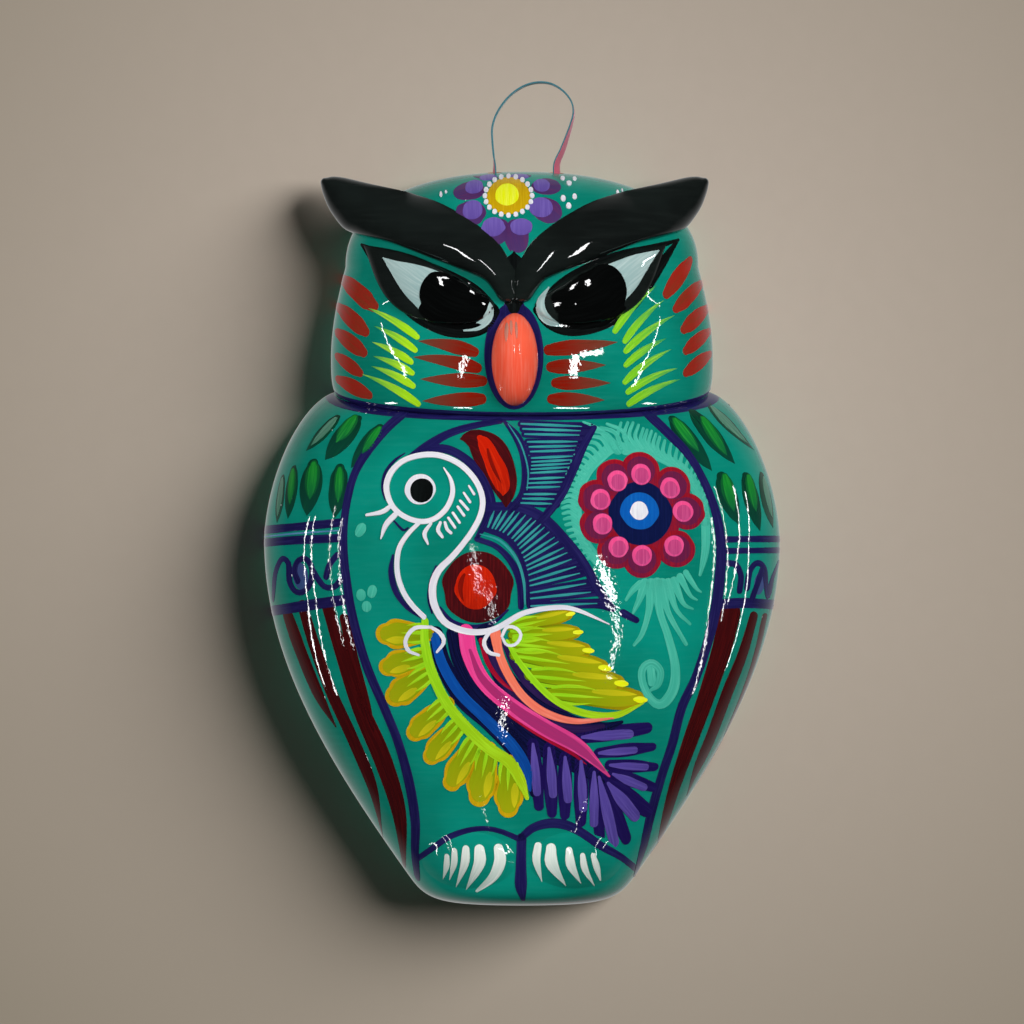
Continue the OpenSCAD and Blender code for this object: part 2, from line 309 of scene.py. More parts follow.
def smooth_rows(rows, steps):
    """A smooth run through the rows, with the given steps from one to the next."""
    p = np.array(rows, float)
    p = np.vstack([2 * p[0] - p[1], p, 2 * p[-1] - p[-2]])
    t = np.linspace(0, 1, steps, endpoint=False)[:, None]
    runs = []
    for a, b, c, d in zip(p, p[1:], p[2:], p[3:]):
        bend = (2 * a - 5 * b + 4 * c - d) * t ** 2 + (3 * b - a - 3 * c + d) * t ** 3
        runs.append((2 * b + (c - a) * t + bend) / 2)
    return np.vstack(runs + [p[-2:-1]])


def lengths_along(points):
    return np.concatenate([[0], np.cumsum(np.linalg.norm(np.diff(points, axis=0), axis=1))])


# Materials

def linear(hex_colour):
    """An sRGB hex value as linear RGBA."""
    parts = [int(hex_colour[i:i + 2], 16) / 255 for i in (1, 3, 5)]
    return tuple(c / 12.92 if c <= 0.04045 else ((c + 0.055) / 1.055) ** 2.4 for c in parts) + (1.0,)


def add(tree, kind, inputs, **settings):
    """Adds a node with its settings. An input is a value, or an output that is linked to it."""
    made = tree.nodes.new(kind)
    for key, value in settings.items():
        setattr(made, key, value)
    for key, value in inputs.items():
        if isinstance(value, bpy.types.NodeSocket):
            tree.links.new(value, made.inputs[key])
        else:
            made.inputs[key].default_value = value
    return made


def start_material(name, **sockets):
    """A material with a Principled shader, and the constants set on its own sockets."""
    material = bpy.data.materials.new(name)
    material.use_nodes = True
    tree = material.node_tree
    shader = tree.nodes["Principled BSDF"]
    for key, value in sockets.items():
        shader.inputs[key.replace("_", " ")].default_value = value
    return material, tree, shader


# Clear gloss varnish over everything painted: a sharp, colourless reflection. The paint under it has
# the varnish's own index, so it adds none
VARNISH = dict(Roughness=0.6, IOR=1.5, Specular_IOR_Level=0.0, Coat_Weight=1.0, Coat_Roughness=0.03,
               Coat_IOR=1.5)
# Sizes of what shows in the painted surface and the ribbon, in millimetres, and the spread of the
# strokes' seeds
BRUSH_HAIR = 0.45
BRUSH_RUN = 9.0
BRUSH_SEED = 40.0
RIB_STEP = 0.25
VARNISH_RIPPLE = 1.2
VARNISH_RIPPLE_DEPTH = 0.022
VARNISH_THIN = 0.25
PAINT_PATCH = 26.0


def millimetres(tree, stretch):
    """Object coordinates divided by a size in millimetres along each axis."""
    place = add(tree, "ShaderNodeTexCoord", {})
    scale = [1 / (MM * s) for s in stretch]
    return add(tree, "ShaderNodeMapping", {"Vector": place.outputs["Object"], "Scale": scale}).outputs[0]


def mix(tree, share, first, second):
    """The output of a colour mix."""
    return add(tree, "ShaderNodeMix", {0: share, 6: first, 7: second}, data_type="RGBA").outputs[2]


def varnish_ripple(tree, shader):
    """The varnish is uneven, so its highlights break into dashes at the sides, where it is thin, and
    into specks in front, where it is thick."""
    marks = add(tree, "ShaderNodeTexNoise", {"Vector": millimetres(tree, [VARNISH_RIPPLE] * 3),
                                             "Scale": 1.0, "Detail": 1.0})
    place = add(tree, "ShaderNodeSeparateXYZ", {0: millimetres(tree, [1.0] * 3)})
    thick = add(tree, "ShaderNodeMapRange", {0: place.outputs[1], 1: -0.5 * BODY_DEPTH,
                                             2: -0.9 * BODY_DEPTH, 3: VARNISH_THIN, 4: 1.0})
    bump = add(tree, "ShaderNodeBump", {"Height": marks.outputs[0], "Strength": thick.outputs[0],
                                        "Distance": VARNISH_RIPPLE_DEPTH * MM})
    tree.links.new(bump.outputs[0], shader.inputs["Normal"])
    tree.links.new(bump.outputs[0], shader.inputs["Coat Normal"])


def clay_paint(name, deep, body, pale, brushed, show):
    """Thick water paint brushed over fired clay in patches, under clear gloss varnish. Brushed is the
    size of a brush mark along each axis, and show how strongly the marks show."""
    material, tree, shader = start_material(name, **VARNISH)
    patches = add(tree, "ShaderNodeTexNoise", {"Vector": millimetres(tree, [PAINT_PATCH] * 3),
                                               "Scale": 1.0, "Detail": 3.0})
    spread = add(tree, "ShaderNodeMapRange", {0: patches.outputs[0], 1: 0.35, 2: 0.65})
    streaks = add(tree, "ShaderNodeTexNoise", {"Vector": millimetres(tree, brushed), "Scale": 1.0,
                                               "Detail": 4.0})
    hairs = add(tree, "ShaderNodeMapRange", {0: streaks.outputs[0], 1: 0.45, 2: 0.8, 4: show})
    base = mix(tree, spread.outputs[0], linear(deep), linear(body))
    tree.links.new(mix(tree, hairs.outputs[0], base, linear(pale)), shader.inputs["Base Color"])
    varnish_ripple(tree, shader)
    return material


def stroke_paint(name, body, streak, tip):
    """A loaded brush leaves hair lines along its stroke and thins or changes tone to its tip."""
    material, tree, shader = start_material(name, **VARNISH)
    side = add(tree, "ShaderNodeAttribute", {}, attribute_name="side_mm")
    run = add(tree, "ShaderNodeAttribute", {}, attribute_name="run_mm")
    along = add(tree, "ShaderNodeAttribute", {}, attribute_name="along")
    seed = add(tree, "ShaderNodeAttribute", {}, attribute_name="seed")
    place = add(tree, "ShaderNodeCombineXYZ", {0: side.outputs["Fac"], 1: run.outputs["Fac"],
                                               2: seed.outputs["Fac"]})
    scale = (1 / BRUSH_HAIR, 1 / BRUSH_RUN, BRUSH_SEED)
    drawn = add(tree, "ShaderNodeMapping", {"Vector": place.outputs[0], "Scale": scale})
    hairs = add(tree, "ShaderNodeTexNoise", {"Vector": drawn.outputs[0], "Scale": 1.0, "Detail": 3.0})
    lines = add(tree, "ShaderNodeMapRange", {0: hairs.outputs[0], 1: 0.45, 2: 0.8})
    fade = add(tree, "ShaderNodeMapRange", {0: along.outputs["Fac"], 1: 0.25, 2: 1.0})
    toned = mix(tree, fade.outputs[0], linear(body), linear(tip))
    tree.links.new(mix(tree, lines.outputs[0], toned, linear(streak)), shader.inputs["Base Color"])
    varnish_ripple(tree, shader)
    return material


def raw_terracotta():
    """Fired, unglazed clay: dull orange-brown, with pale and dark grog and a dry, grainy surface."""
    material, tree, shader = start_material("raw_terracotta", Roughness=0.92, IOR=1.5)
    cloud = add(tree, "ShaderNodeTexNoise", {"Vector": millimetres(tree, [17.0] * 3), "Scale": 1.0,
                                             "Detail": 5.0})
    grog = add(tree, "ShaderNodeTexVoronoi", {"Vector": millimetres(tree, [1.3] * 3), "Scale": 1.0})
    grit = add(tree, "ShaderNodeTexNoise", {"Vector": millimetres(tree, [0.6] * 3), "Scale": 1.0,
                                            "Detail": 4.0})
    specks = add(tree, "ShaderNodeMapRange", {0: grog.outputs["Distance"], 1: 0.0, 2: 0.22, 3: 0.7,
                                              4: 0.0})
    base = mix(tree, cloud.outputs[0], linear("#8f4628"), linear("#bd6f47"))
    tree.links.new(mix(tree, specks.outputs[0], base, linear("#d79a72")), shader.inputs["Base Color"])
    bump = add(tree, "ShaderNodeBump", {"Height": grit.outputs[0], "Strength": 0.5, "Distance": 0.2 * MM})
    tree.links.new(bump.outputs[0], shader.inputs["Normal"])
    return material


def woven_ribbon(name, body, thread):
    """Narrow polyester ribbon: fine cross ribs, a soft satin sheen and slightly lighter threads."""
    material, tree, shader = start_material(name, Roughness=0.45, IOR=1.55, Sheen_Weight=0.3)
    run = add(tree, "ShaderNodeAttribute", {}, attribute_name="run_mm")
    side = add(tree, "ShaderNodeAttribute", {}, attribute_name="side_mm")
    place = add(tree, "ShaderNodeCombineXYZ", {0: run.outputs["Fac"], 1: side.outputs["Fac"]})
    # At a scale of 1 the wave repeats after 2 pi / 20
    ribs = add(tree, "ShaderNodeTexWave", {"Vector": place.outputs[0],
                                           "Scale": 2 * math.pi / 20 / RIB_STEP,
                                           "Distortion": 0.6, "Detail": 1.0}, bands_direction="X")
    colour = mix(tree, ribs.outputs["Fac"], linear(body), linear(thread))
    tree.links.new(colour, shader.inputs["Base Color"])
    bump = add(tree, "ShaderNodeBump", {"Height": ribs.outputs["Fac"], "Strength": 0.4,
                                        "Distance": 0.08 * MM})
    tree.links.new(bump.outputs[0], shader.inputs["Normal"])
    return material


ROUND_BRUSH = (BRUSH_RUN, BRUSH_RUN, 2 * BRUSH_HAIR)
DOWN_BRUSH = (BRUSH_HAIR, BRUSH_RUN, BRUSH_RUN)
TEAL = clay_paint("teal_paint_varnished", "#037c6a", "#05907e", "#2b9a89", ROUND_BRUSH, 0.2)
BLACK = clay_paint("black_paint_varnished", "#0f1312", "#181f1d", "#282e2c", ROUND_BRUSH, 0.25)
CORAL = clay_paint("coral_paint_varnished", "#f85a3e", "#ff6a4c", "#f79480", DOWN_BRUSH, 0.45)
TERRACOTTA = raw_terracotta()
RIBBON_TEAL = woven_ribbon("teal_ribbon", "#14606e", "#2b7d8a")
RIBBON_PINK = woven_ribbon("pink_ribbon", "#b8455f", "#d0677f")

# Brush paints by name: body, hair lines, and the tone at the end of the stroke
PAINTS = {
    "navy": ("#1b1850", "#2b2863", "#171247"),
    "ink": ("#0a0d33", "#15194a", "#0a0d33"),
    "black": ("#080b0b", "#161b1b", "#080b0b"),
    "white": ("#e4e2ea", "#f4f3f6", "#dcdbe6"),
    "claw_white": ("#dfe9df", "#f2f4ee", "#b9d3ca"),
    "iris": ("#020303", "#070909", "#020303"),
    "red": ("#c41d05", "#de2f0e", "#a81a06"),
    "red_shade": ("#7c1006", "#96160a", "#6e1008"),
    "maroon": ("#440c11", "#641116", "#380b11"),
    "wing_maroon": ("#3e080b", "#570d0e", "#36060b"),
    "cheek_red": ("#a82416", "#7d3a1f", "#982a1e"),
    "cheek_rust": ("#861708", "#70301f", "#6b4535"),
    "lime": ("#a8e61c", "#c9f53c", "#3fa452"),
    "lime_green": ("#7ccb28", "#a8e23a", "#2d9a5c"),
    "leaf_dark": ("#053828", "#0a4d34", "#084236"),
    "leaf_mid": ("#0c5c2c", "#146c32", "#0a4c32"),
    "leaf_bright": ("#12822c", "#2b9a3a", "#11663a"),
    "leaf_grey": ("#4c7e68", "#6c9a84", "#2c6d57"),
    "olive": ("#7d9a08", "#98a90c", "#a8a80e"),
    "olive_dark": ("#5a7606", "#6d890a", "#b0940c"),
    "ochre": ("#c59a08", "#d8b414", "#c8a20c"),
    "feather_lime": ("#93d41a", "#b4ea2c", "#a6c414"),
    "feather_glow": ("#b4b414", "#c8c41c", "#d8c818"),
    "yellow": ("#eef612", "#f8fc5a", "#e8ee10"),
    "blue": ("#0a4a9e", "#135cb4", "#0a3f8c"),
    "pink": ("#ee4090", "#f65aa2", "#c83c80"),
    "magenta": ("#b02c6c", "#9a3070", "#a83070"),
    "crimson": ("#9a0c2c", "#b41a34", "#8a0a2a"),
    "coral_line": ("#f87a5e", "#fa947c", "#e87060"),
    "plum": ("#28184a", "#342056", "#241440"),
    "violet": ("#55459a", "#6655aa", "#4b3d8a"),
    "violet_wash": ("#3b4a80", "#4a5890", "#35507e"),
    "pale_blue": ("#5b86b8", "#74a0c8", "#4a78a8"),
    "tail_navy": ("#190d4c", "#241a5c", "#1c1050"),
    "crown_violet": ("#6a55a6", "#7864b4", "#5f4a9a"),
    "crown_plum": ("#4c2a62", "#64305c", "#4a3468"),
    "petal_red": ("#8e1226", "#aa1820", "#741838"),
    "petal_plum": ("#641c44", "#7c203e", "#641c44"),
    "oval_pink": ("#ee4c8c", "#f4649c", "#d24888"),
    "oval_shade": ("#bf4079", "#d85c93", "#b83f78"),
    "beak_shade": ("#b87a68", "#cf8d7a", "#dd8270"),
    "flower_blue": ("#0a58ae", "#1468bc", "#0a58ae"),
    "flower_navy": ("#0a1440", "#121c50", "#0a1440"),
    "aqua": ("#43b69e", "#5cc6ae", "#38a892"),
    "hatch": ("#2f9494", "#47a5a3", "#2a8a8c"),
    "sclera": ("#a4bfbd", "#bfd2cf", "#8fb0af"),
}
paints = {name: stroke_paint("brushed_" + name + "_paint", *tones) for name, tones in PAINTS.items()}


# Camera, straight in front of the wall as in the photo

def place_camera():
    lens = bpy.data.cameras.new("camera")
    lens.sensor_width = SENSOR
    lens.lens = SENSOR * CAMERA_DISTANCE / (PHOTO_WIDTH * MM_PER_PX)
    camera = bpy.data.objects.new("camera", lens)
    camera.location = Vector((VIEW_X, -CAMERA_DISTANCE, VIEW_Z)) * MM
    camera.rotation_euler = (math.pi / 2, 0, 0)
    bpy.context.collection.objects.link(camera)
    bpy.context.scene.camera = camera


# Ribbon, one flat length from knot to knot

RIBBON_WIDTH = 3
RIBBON_THICK = 0.4
# The loop's middle line, z above the crown, from hole to hole
LOOP_ROUTE = [
    (-7.5, -5, 2), (-7.8, -5, 5), (-8.1, -4.8, 8.5), (-8.1, -4.5, 12), (-7, -4, 15.5),
    (-5, -3.6, 18.7), (-2.4, -3.2, 21.4), (0.8, -2.8, 23.4), (4.4, -2.6, 24.3), (8, -2.6, 23.9),
    (11.2, -2.8, 22), (13.4, -3.2, 19.2), (14.1, -3.6, 16), (13.4, -4, 12.6), (12.3, -4.5, 9.2),
    (11, -4.8, 5.6), (9.5, -5, 2),
]
LOOP_HEART = (2, -4, 14)
KNOT_TOP = -6.3
KNOT_HEIGHT = 5
KNOT_WIDTH = 7
KNOT_TAIL = 8
KNOT_TAIL_WIDTH = 2.6
# Half-sizes of the crushed ribbon in a knot, the height a strand takes up in it, how far the strands
# pass over each other, and the ribbon's length in it
STRAND_WIDE = 0.8
STRAND_THICK = 0.42
STRAND_TALL = 1.4
STRAND_OVER = 1.1
STRAND_LENGTH = 40
# Turn of the ribbon's width out of the view's line, at shares of its length
RIBBON_TURN = [(0, 25), (0.1, 15), (0.17, -3), (0.5, -4), (0.66, 2), (0.78, 20), (0.89, 36), (1, 40)]


def flat_strip(path, turn, width, thick):
    """Loops round a flat ribbon along a path, and its distances across and along."""
    run = unit(np.gradient(path, axis=0))
    flat = unit(np.cross(run, np.array([0.0, 1.0, 0.0])))
    deep = np.cross(flat, run)
    across = np.cos(turn)[:, None] * deep + np.sin(turn)[:, None] * flat
    face = np.cross(run, across)
    half = np.array([-1, -0.97, -0.5, 0, 0.5, 0.97, 1])
    rise = np.array([0, 1, 1, 1, 1, 1, 0])
    section = list(zip(half, rise)) + list(zip(half[-2:0:-1], -rise[-2:0:-1]))
    loops = np.stack([path + across * (h * width / 2) + face * (r * thick / 2)
                      for h, r in section], axis=1)
    lengths = lengths_along(path)
    side = np.array([h * width / 2 for h, _ in section])
    values = {"run_mm": np.append(np.repeat(lengths, len(side)), [lengths[0], lengths[-1]]),
              "side_mm": np.append(np.tile(side, len(path)), [0, 0])}
    return loops, values


def make_ribbon():
    crown = np.array([0, 0, CROWN])
    first, last = np.array(LOOP_ROUTE[0], float), np.array(LOOP_ROUTE[-1], float)
    heights = (KNOT_TOP - KNOT_HEIGHT / 2, KNOT_TOP, -2)
    left_foot = [first * (1, 1, 0) + (0, 0, z) for z in heights]
    right_foot = [last * (1, 1, 0) + (0, 0, z) for z in heights[::-1]]
    path = smooth_rows(left_foot + list(np.array(LOOP_ROUTE, float)) + right_foot, 6) + crown
    share = np.linspace(0, 1, len(path))
    turn = np.radians(np.interp(share, *zip(*RIBBON_TURN)))
    loops, values = flat_strip(path, turn, RIBBON_WIDTH, RIBBON_THICK)
    points, faces = loft(loops)
    ribbon = make_piece("ribbon", points, faces, [RIBBON_TEAL, RIBBON_PINK], "ribbon", body=None,
                        values=values)
    side = ribbon.data.attributes["side_mm"].data
    for face in ribbon.data.polygons:
        near = int(np.argmin(np.linalg.norm(path - np.array(face.center) / MM, axis=1)))
        outer = np.dot(np.array(face.normal), path[near] - crown - LOOP_HEART) > 0
        edge = np.mean([abs(side[v].value) for v in face.vertices]) > 0.48 * RIBBON_WIDTH
        face.material_index = 1 if outer and not edge else 0
    ribbon.visible_shadow = False
    ribbon.visible_diffuse = False
    knots = [make_knot("knot_left", first, 1), make_knot("knot_right", last, -1)]
    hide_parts("ribbon_loop", "ribbon_tail_left", "ribbon_tail_right")
    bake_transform(ribbon)


def make_knot(node, hole, hand):
    """An overhand stopper knot: a flattened trefoil of ribbon and its cut end."""
    turns = np.linspace(0, 2 * np.pi, 97)[:-1]
    centre = hole * (1, 1, 0) + (0, 0, CROWN + KNOT_TOP - KNOT_HEIGHT / 2)
    span = (KNOT_WIDTH - 2 * STRAND_WIDE) / 6
    tall = (KNOT_HEIGHT - STRAND_TALL) / 6
    trefoil = np.stack([
        span * (np.sin(turns) + 2 * np.sin(2 * turns)) * hand,
        -STRAND_OVER * np.sin(3 * turns),
        tall * (np.cos(turns) - 2 * np.cos(2 * turns)),
    ], axis=1)
    run = unit(np.roll(trefoil, -1, axis=0) - np.roll(trefoil, 1, axis=0))
    outward = unit(np.cross(run, np.cross(trefoil + 1e-3, run)))
    wide = unit(np.cross(run, outward))
    section = np.radians(np.arange(0, 360, 30))
    rows = np.stack([trefoil + wide * (STRAND_WIDE * np.cos(a)) + outward * (STRAND_THICK * np.sin(a))
                     for a in section], axis=1)
    count, sides, _ = rows.shape
    points = rows.reshape(-1, 3) + centre
    faces = [(i * sides + j, ((i + 1) % count) * sides + j,
              ((i + 1) % count) * sides + (j + 1) % sides, i * sides + (j + 1) % sides)
             for i in range(count) for j in range(sides)]
    lengths = np.linspace(0, STRAND_LENGTH, count)
    values = {"run_mm": np.repeat(lengths, sides), "side_mm": np.tile(np.cos(section), count)}
    drop = np.linspace(1.2, KNOT_HEIGHT / 2 + KNOT_TAIL, 24)
    sway = np.sin(drop / 5) * hand
    tail = np.stack([0.6 * sway, 0.7 * np.cos(drop / 4), -drop], axis=1) + centre
    turn = np.radians(np.linspace(75, 50, len(drop)) * hand)
    loops, more = flat_strip(tail, turn, KNOT_TAIL_WIDTH, RIBBON_THICK)
    tail_points, tail_faces = loft(loops)
    faces += [tuple(i + len(points) for i in face) for face in tail_faces]
    points = np.concatenate([points, tail_points])
    values = {key: np.concatenate([values[key], more[key]]) for key in values}
    return make_piece(node + "_tied", points, faces, [RIBBON_TEAL], "ribbon", node=node, values=values)


# Clay pieces. The finger dabs inside a shell: their sizes, and how far they stand out
DAB_LONG = 9
DAB_SHORT = 3.5
DAB_OUT = 0.55
# A face of the outer skin is at least this full
SKIN_FULLNESS = 0.93


def make_shell(shell, node, drops, far_end):
    """One hollow shell: painted outside, raw clay on its rim and inside, with finger dabs there."""
    columns = 161
    angles = np.linspace(0, np.pi, columns)
    if shell == "head":
        inner_drops = WALL + drops * (NECK_DROP - WALL) / NECK_DROP
        inner_end = far_end - (0, 0, WALL)
    else:
        inner_drops = NECK_DROP + (drops - NECK_DROP) * (1 - WALL / (OWL_HEIGHT - NECK_DROP))
        inner_end = far_end + (0, 0, WALL)
    outer = ring_point(shell, angles[None, :], drops[:, None])
    inner = ring_point(shell, angles[None, :], inner_drops[:, None], WALL)
    dabs = np.array([[noise.noise(Vector(p) / DAB_LONG) + 0.4 * noise.noise(Vector(p) / DAB_SHORT)
                      for p in row] for row in inner])
    inner[:, :, 1] += DAB_OUT * dabs * np.sin(angles)[None, :]
    rows = len(drops)
    skin = rows * columns + 1
    points = np.concatenate([outer.reshape(-1, 3), [far_end], inner.reshape(-1, 3), [inner_end]])

    def at(side, i, j):
        return side * skin + (i * columns + j if i < rows else rows * columns)

    painted, raw = [], []
    for side, group in ((0, painted), (1, raw)):
        for i in range(rows):
            for j in range(columns - 1):
                face = [at(side, i, j), at(side, i, j + 1), at(side, i + 1, j + 1), at(side, i + 1, j)]
                group.append(face if i < rows - 1 else face[:3])
    for i in range(rows):
        for j in (0, columns - 1):
            raw.append([at(0, i, j), at(0, i + 1, j), at(1, i + 1, j), at(1, i, j)])
    for j in range(columns - 1):
        raw.append([at(0, 0, j), at(0, 0, j + 1), at(1, 0, j + 1), at(1, 0, j)])
    piece = make_piece(node + "_clay", points, painted + raw, [TEAL, TERRACOTTA], "glazed_clay",
                       node=node)
    for face in piece.data.polygons:
        middle = np.array([face.center]) / MM
        full = fullness(shell, middle)[0]
        flat_rim = abs(face.normal[1]) > 0.9 and abs(middle[0][1]) < 0.01
        end = min(CROWN - middle[0][2], OWL_HEIGHT - CROWN + middle[0][2]) < WALL / 2
        face.material_index = 1 if flat_rim or (full < SKIN_FULLNESS and not end) else 0
    return piece


def head_drops():
    roll = NECK_DROP - (NECK_DROP - CHEEK_DROP) * (1 - np.cos(np.linspace(0, np.pi / 2, 14)))
    side = np.linspace(CHEEK_DROP, DOME_HEIGHT, 22)[1:]
    dome = DOME_HEIGHT * (1 - np.sin(np.linspace(0, np.radians(88.5), 40)))[1:]
    return np.concatenate([roll, side, dome])


def body_drops():
    shoulder = NECK_DROP + (WIDEST_DROP - NECK_DROP) * (1 - np.cos(np.linspace(0, np.pi / 2, 36)))
    flank = np.linspace(WIDEST_DROP, OWL_HEIGHT - BASE_ROUND, 64)[1:]
    base = OWL_HEIGHT - BASE_ROUND * (1 - np.sin(np.linspace(0, np.radians(88), 26)))[1:]
    return np.concatenate([shoulder, flank, base])


def cut_crown_holes(head):
    """Two holes for the ribbon, as wide as in the part."""
    hole_width = RIBBON_WIDTH + 1
    for hole in (LOOP_ROUTE[0], LOOP_ROUTE[-1]):
        drill = bmesh.new()
        bmesh.ops.create_cone(drill, cap_ends=True, segments=40, radius1=hole_width / 2 * MM,
                              radius2=hole_width / 2 * MM, depth=4 * WALL * MM)
        mesh = bpy.data.meshes.new("drill")
        drill.to_mesh(mesh)
        drill.free()
        for material in (TEAL, TERRACOTTA):
            mesh.materials.append(material)
        mesh.polygons.foreach_set("material_index", [1] * len(mesh.polygons))
        tool = bpy.data.objects.new("drill", mesh)
        tool.location = Vector((hole[0], hole[1], CROWN)) * MM
        bpy.context.collection.objects.link(tool)
        cut = head.modifiers.new("hole", "BOOLEAN")
        cut.object = tool
        cut.solver = "EXACT"
        bpy.context.view_layer.update()
        done = bpy.data.meshes.new_from_object(head.evaluated_get(bpy.context.evaluated_depsgraph_get()))
        head.modifiers.clear()
        head.data = done
        bpy.data.objects.remove(tool)


def pad_loops(centre, across, half, height, seat, sink, blur=0, under=None):
    """Loops of a clay pad: its front stands out from the seat, its back lies under the seat, or
    under another one."""
    turn = np.linspace(0, np.pi, height.shape[1])
    v = -np.cos(turn)
    x = centre[:, :1] + across[:, :1] * half[:, None] * v
    z = centre[:, 1:] + across[:, 1:] * half[:, None] * v
    base = seat(x, z) - EDGE_SINK
    depth = base + height
    if blur:
        # A thumb smooths the front along its length, less towards its edges and ends
        kernel = np.hanning(2 * blur + 3)[1:-1]
        even = np.stack([np.convolve(np.pad(column, blur, "edge"), kernel / kernel.sum(), "valid")
                         for column in depth.T], axis=1)
        rows = np.arange(len(depth))
        ends = np.clip(np.minimum(rows, rows[::-1]) / blur, 0, 1)
        depth = depth + (even - depth) * ends[:, None] * np.sqrt(np.sin(turn))
    front = np.stack([x, -depth, z], axis=-1)
    floor = under(x, z) - EDGE_SINK if under else base
    back = np.stack([x, -(floor - sink * np.sin(turn)), z], axis=-1)
    return np.concatenate([front, back[:, -2:0:-1]], axis=1)


def head_seat(x, z):
    return skin_depth("head", x, z)


def body_seat(x, z):
    return skin_depth("body", x, z)


# Depth at which the horn's front sets off, by its distance across the face, how softly the skin runs
# into it, and the share of the way out at which the skin under it is read
HORN_RUN = [(24, 8), (30, 17), (36.7, 15), (41.3, 12), (44.3, 10), (46.4, 9), (48.6, 8),
            (52, HORN_SETBACK)]
HORN_SOFT = 3
HORN_INWARD = 0.985


def horn_back(x, z):
    return np.maximum(HORN_SETBACK, head_seat(x * HORN_INWARD, z))


def horned_seat(x, z):
    """The skin under a brow, run out smoothly into the horn beside the head."""
    skin = head_seat(x * HORN_INWARD, z)
    horn = np.interp(np.abs(x - FACE_SHIFT), *zip(*HORN_RUN))
    return (skin + horn + np.hypot(skin - horn, HORN_SOFT)) / 2


# A brow from its horn's tip to the bridge over the beak: across, drop, half-height, out, and the
# lean of its cross line in degrees
BROW = [
    (52.25, 2.75, 0.15 * BROW_HALF, 0.42 * HORN_OUT, 37),
    (50.95, 4, 0.39 * BROW_HALF, 0.57 * HORN_OUT, 28),
    (49.1, 5.7, 0.62 * BROW_HALF, 0.72 * HORN_OUT, 26),
    (46.8, 7.6, 0.81 * BROW_HALF, 0.86 * HORN_OUT, 23),
    (44.2, 9.4, 0.96 * BROW_HALF, 0.95 * HORN_OUT, 21),
    (41, 10.6, 1.01 * BROW_HALF, 0.95 * HORN_OUT, 20),
    (37.4, 11.6, 1.03 * BROW_HALF, 6.6, 19),
    (33.8, 12.5, 1.04 * BROW_HALF, 5.4, 19),
    (30, 13.6, 1.06 * BROW_HALF, BROW_OUT, 20),
    (23.5, 16.1, 1.07 * BROW_HALF, BROW_OUT, 23),
    (18, 18.8, 1.02 * BROW_HALF, BROW_OUT, 29),
    (13, 21.5, 0.93 * BROW_HALF, BROW_OUT, 33),
    (8.2, 24.6, 0.80 * BROW_HALF, BROW_OUT, 40),
    (4.8, 28, 0.62 * BROW_HALF, 0.92 * BROW_OUT, 50),
    (2.6, 31.4, 0.55 * BROW_HALF, 0.8 * BROW_OUT, 63),
    (1.6, 34.4, 0.45 * BROW_HALF, 0.55 * BROW_OUT, 72),
]
ACROSS_STEPS = 29
# How far the back of a pad curves into its seat, steps of the thumb's smoothing of a brow, and the
# share of its height below which a brow rolls over
PAD_SINK = 0.4
BROW_BLUR = 16
BROW_ROLL = 0.3
# Distances across the face between which a brow turns into its round horn and its back fills out,
# how far it does, and the slope at which its edges close in at both ends
HORN_FRONT = (31, 45)
HORN_BACK = (42, 48)
HORN_BACK_OUT = 2.6
TIP_SLOPE = 35
BRIDGE_SLOPE = 18


def make_brow(side, node):
    rows = smooth_rows(BROW, 9)
    tip = round_end(rows[0], rows[1], TIP_SLOPE)
    bridge = round_end(rows[-1], rows[-2], BRIDGE_SLOPE)
    rows = np.concatenate([tip[::-1], rows, bridge])
    across_face, drop, half, out, lean = rows.T
    centre = np.stack([FACE_SHIFT + side * across_face, CROWN - drop], axis=1)
    across = np.stack([side * np.sin(np.radians(lean)), -np.cos(np.radians(lean))], axis=1)
    v = -np.cos(np.linspace(0, np.pi, ACROSS_STEPS))
    # The horn is round; further in, the ridge swells softly from above and rolls over below
    full = np.sqrt(1 - v ** 2)
    swell = np.sin(np.pi / 2 * np.clip((v + 1) / (1 + BROW_ROLL), 0, 1))
    rolled = np.sqrt(1 - np.clip((v - BROW_ROLL) / (1 - BROW_ROLL), 0, 1) ** 2)
    ridge = np.where(v < BROW_ROLL, swell, rolled)
    horn = np.interp(across_face, HORN_FRONT, (0, 1))[:, None]
    height = out[:, None] * (horn * full + (1 - horn) * ridge)
    filled = np.interp(across_face, HORN_BACK, (0, 1)) * np.clip(half / 3, 0, 1)
    back = (PAD_SINK + HORN_BACK_OUT * filled)[:, None]
    loops = pad_loops(centre, across, half, height, horned_seat, back, BROW_BLUR, horn_back)
    make_piece(node + "_clay", *loft(loops), [BLACK], "black_paint", node=node)


def round_end(end, inner, slope):
    """Stations that round off the end of a ridge whose edges already close in at a slope."""
    run = unit((end - inner)[:2])
    slope = math.radians(slope)
    turns = np.linspace(slope, np.radians(87), 8)[1:]
    reach = end[2] / math.cos(slope) * (np.sin(turns) - math.sin(slope))
    shrink = np.cos(turns) / math.cos(slope)
    leans = np.full((len(turns), 1), end[4])
    return np.concatenate([end[:2] + np.outer(reach, run), np.outer(shrink, end[2:4]), leans], axis=1)


def eye_shape(share):
    """Fullness of the almond at a share of its length: pointed outside, rounder inside."""
    return np.sqrt(np.clip(1 - share ** 2, 0, 1)) ** (1.75 - 0.85 * share)


def eye_axes(side):
    """Centre, inward axis and downward axis of an eye in the front view."""
    centre = np.array([FACE_SHIFT + side * EYE_OFFSET, CROWN - EYE_DROP])
    inward = np.array([-side * math.cos(EYE_SLANT), -math.sin(EYE_SLANT)])
    down = np.array([side * math.sin(EYE_SLANT), -math.cos(EYE_SLANT)])
    return centre, inward, down


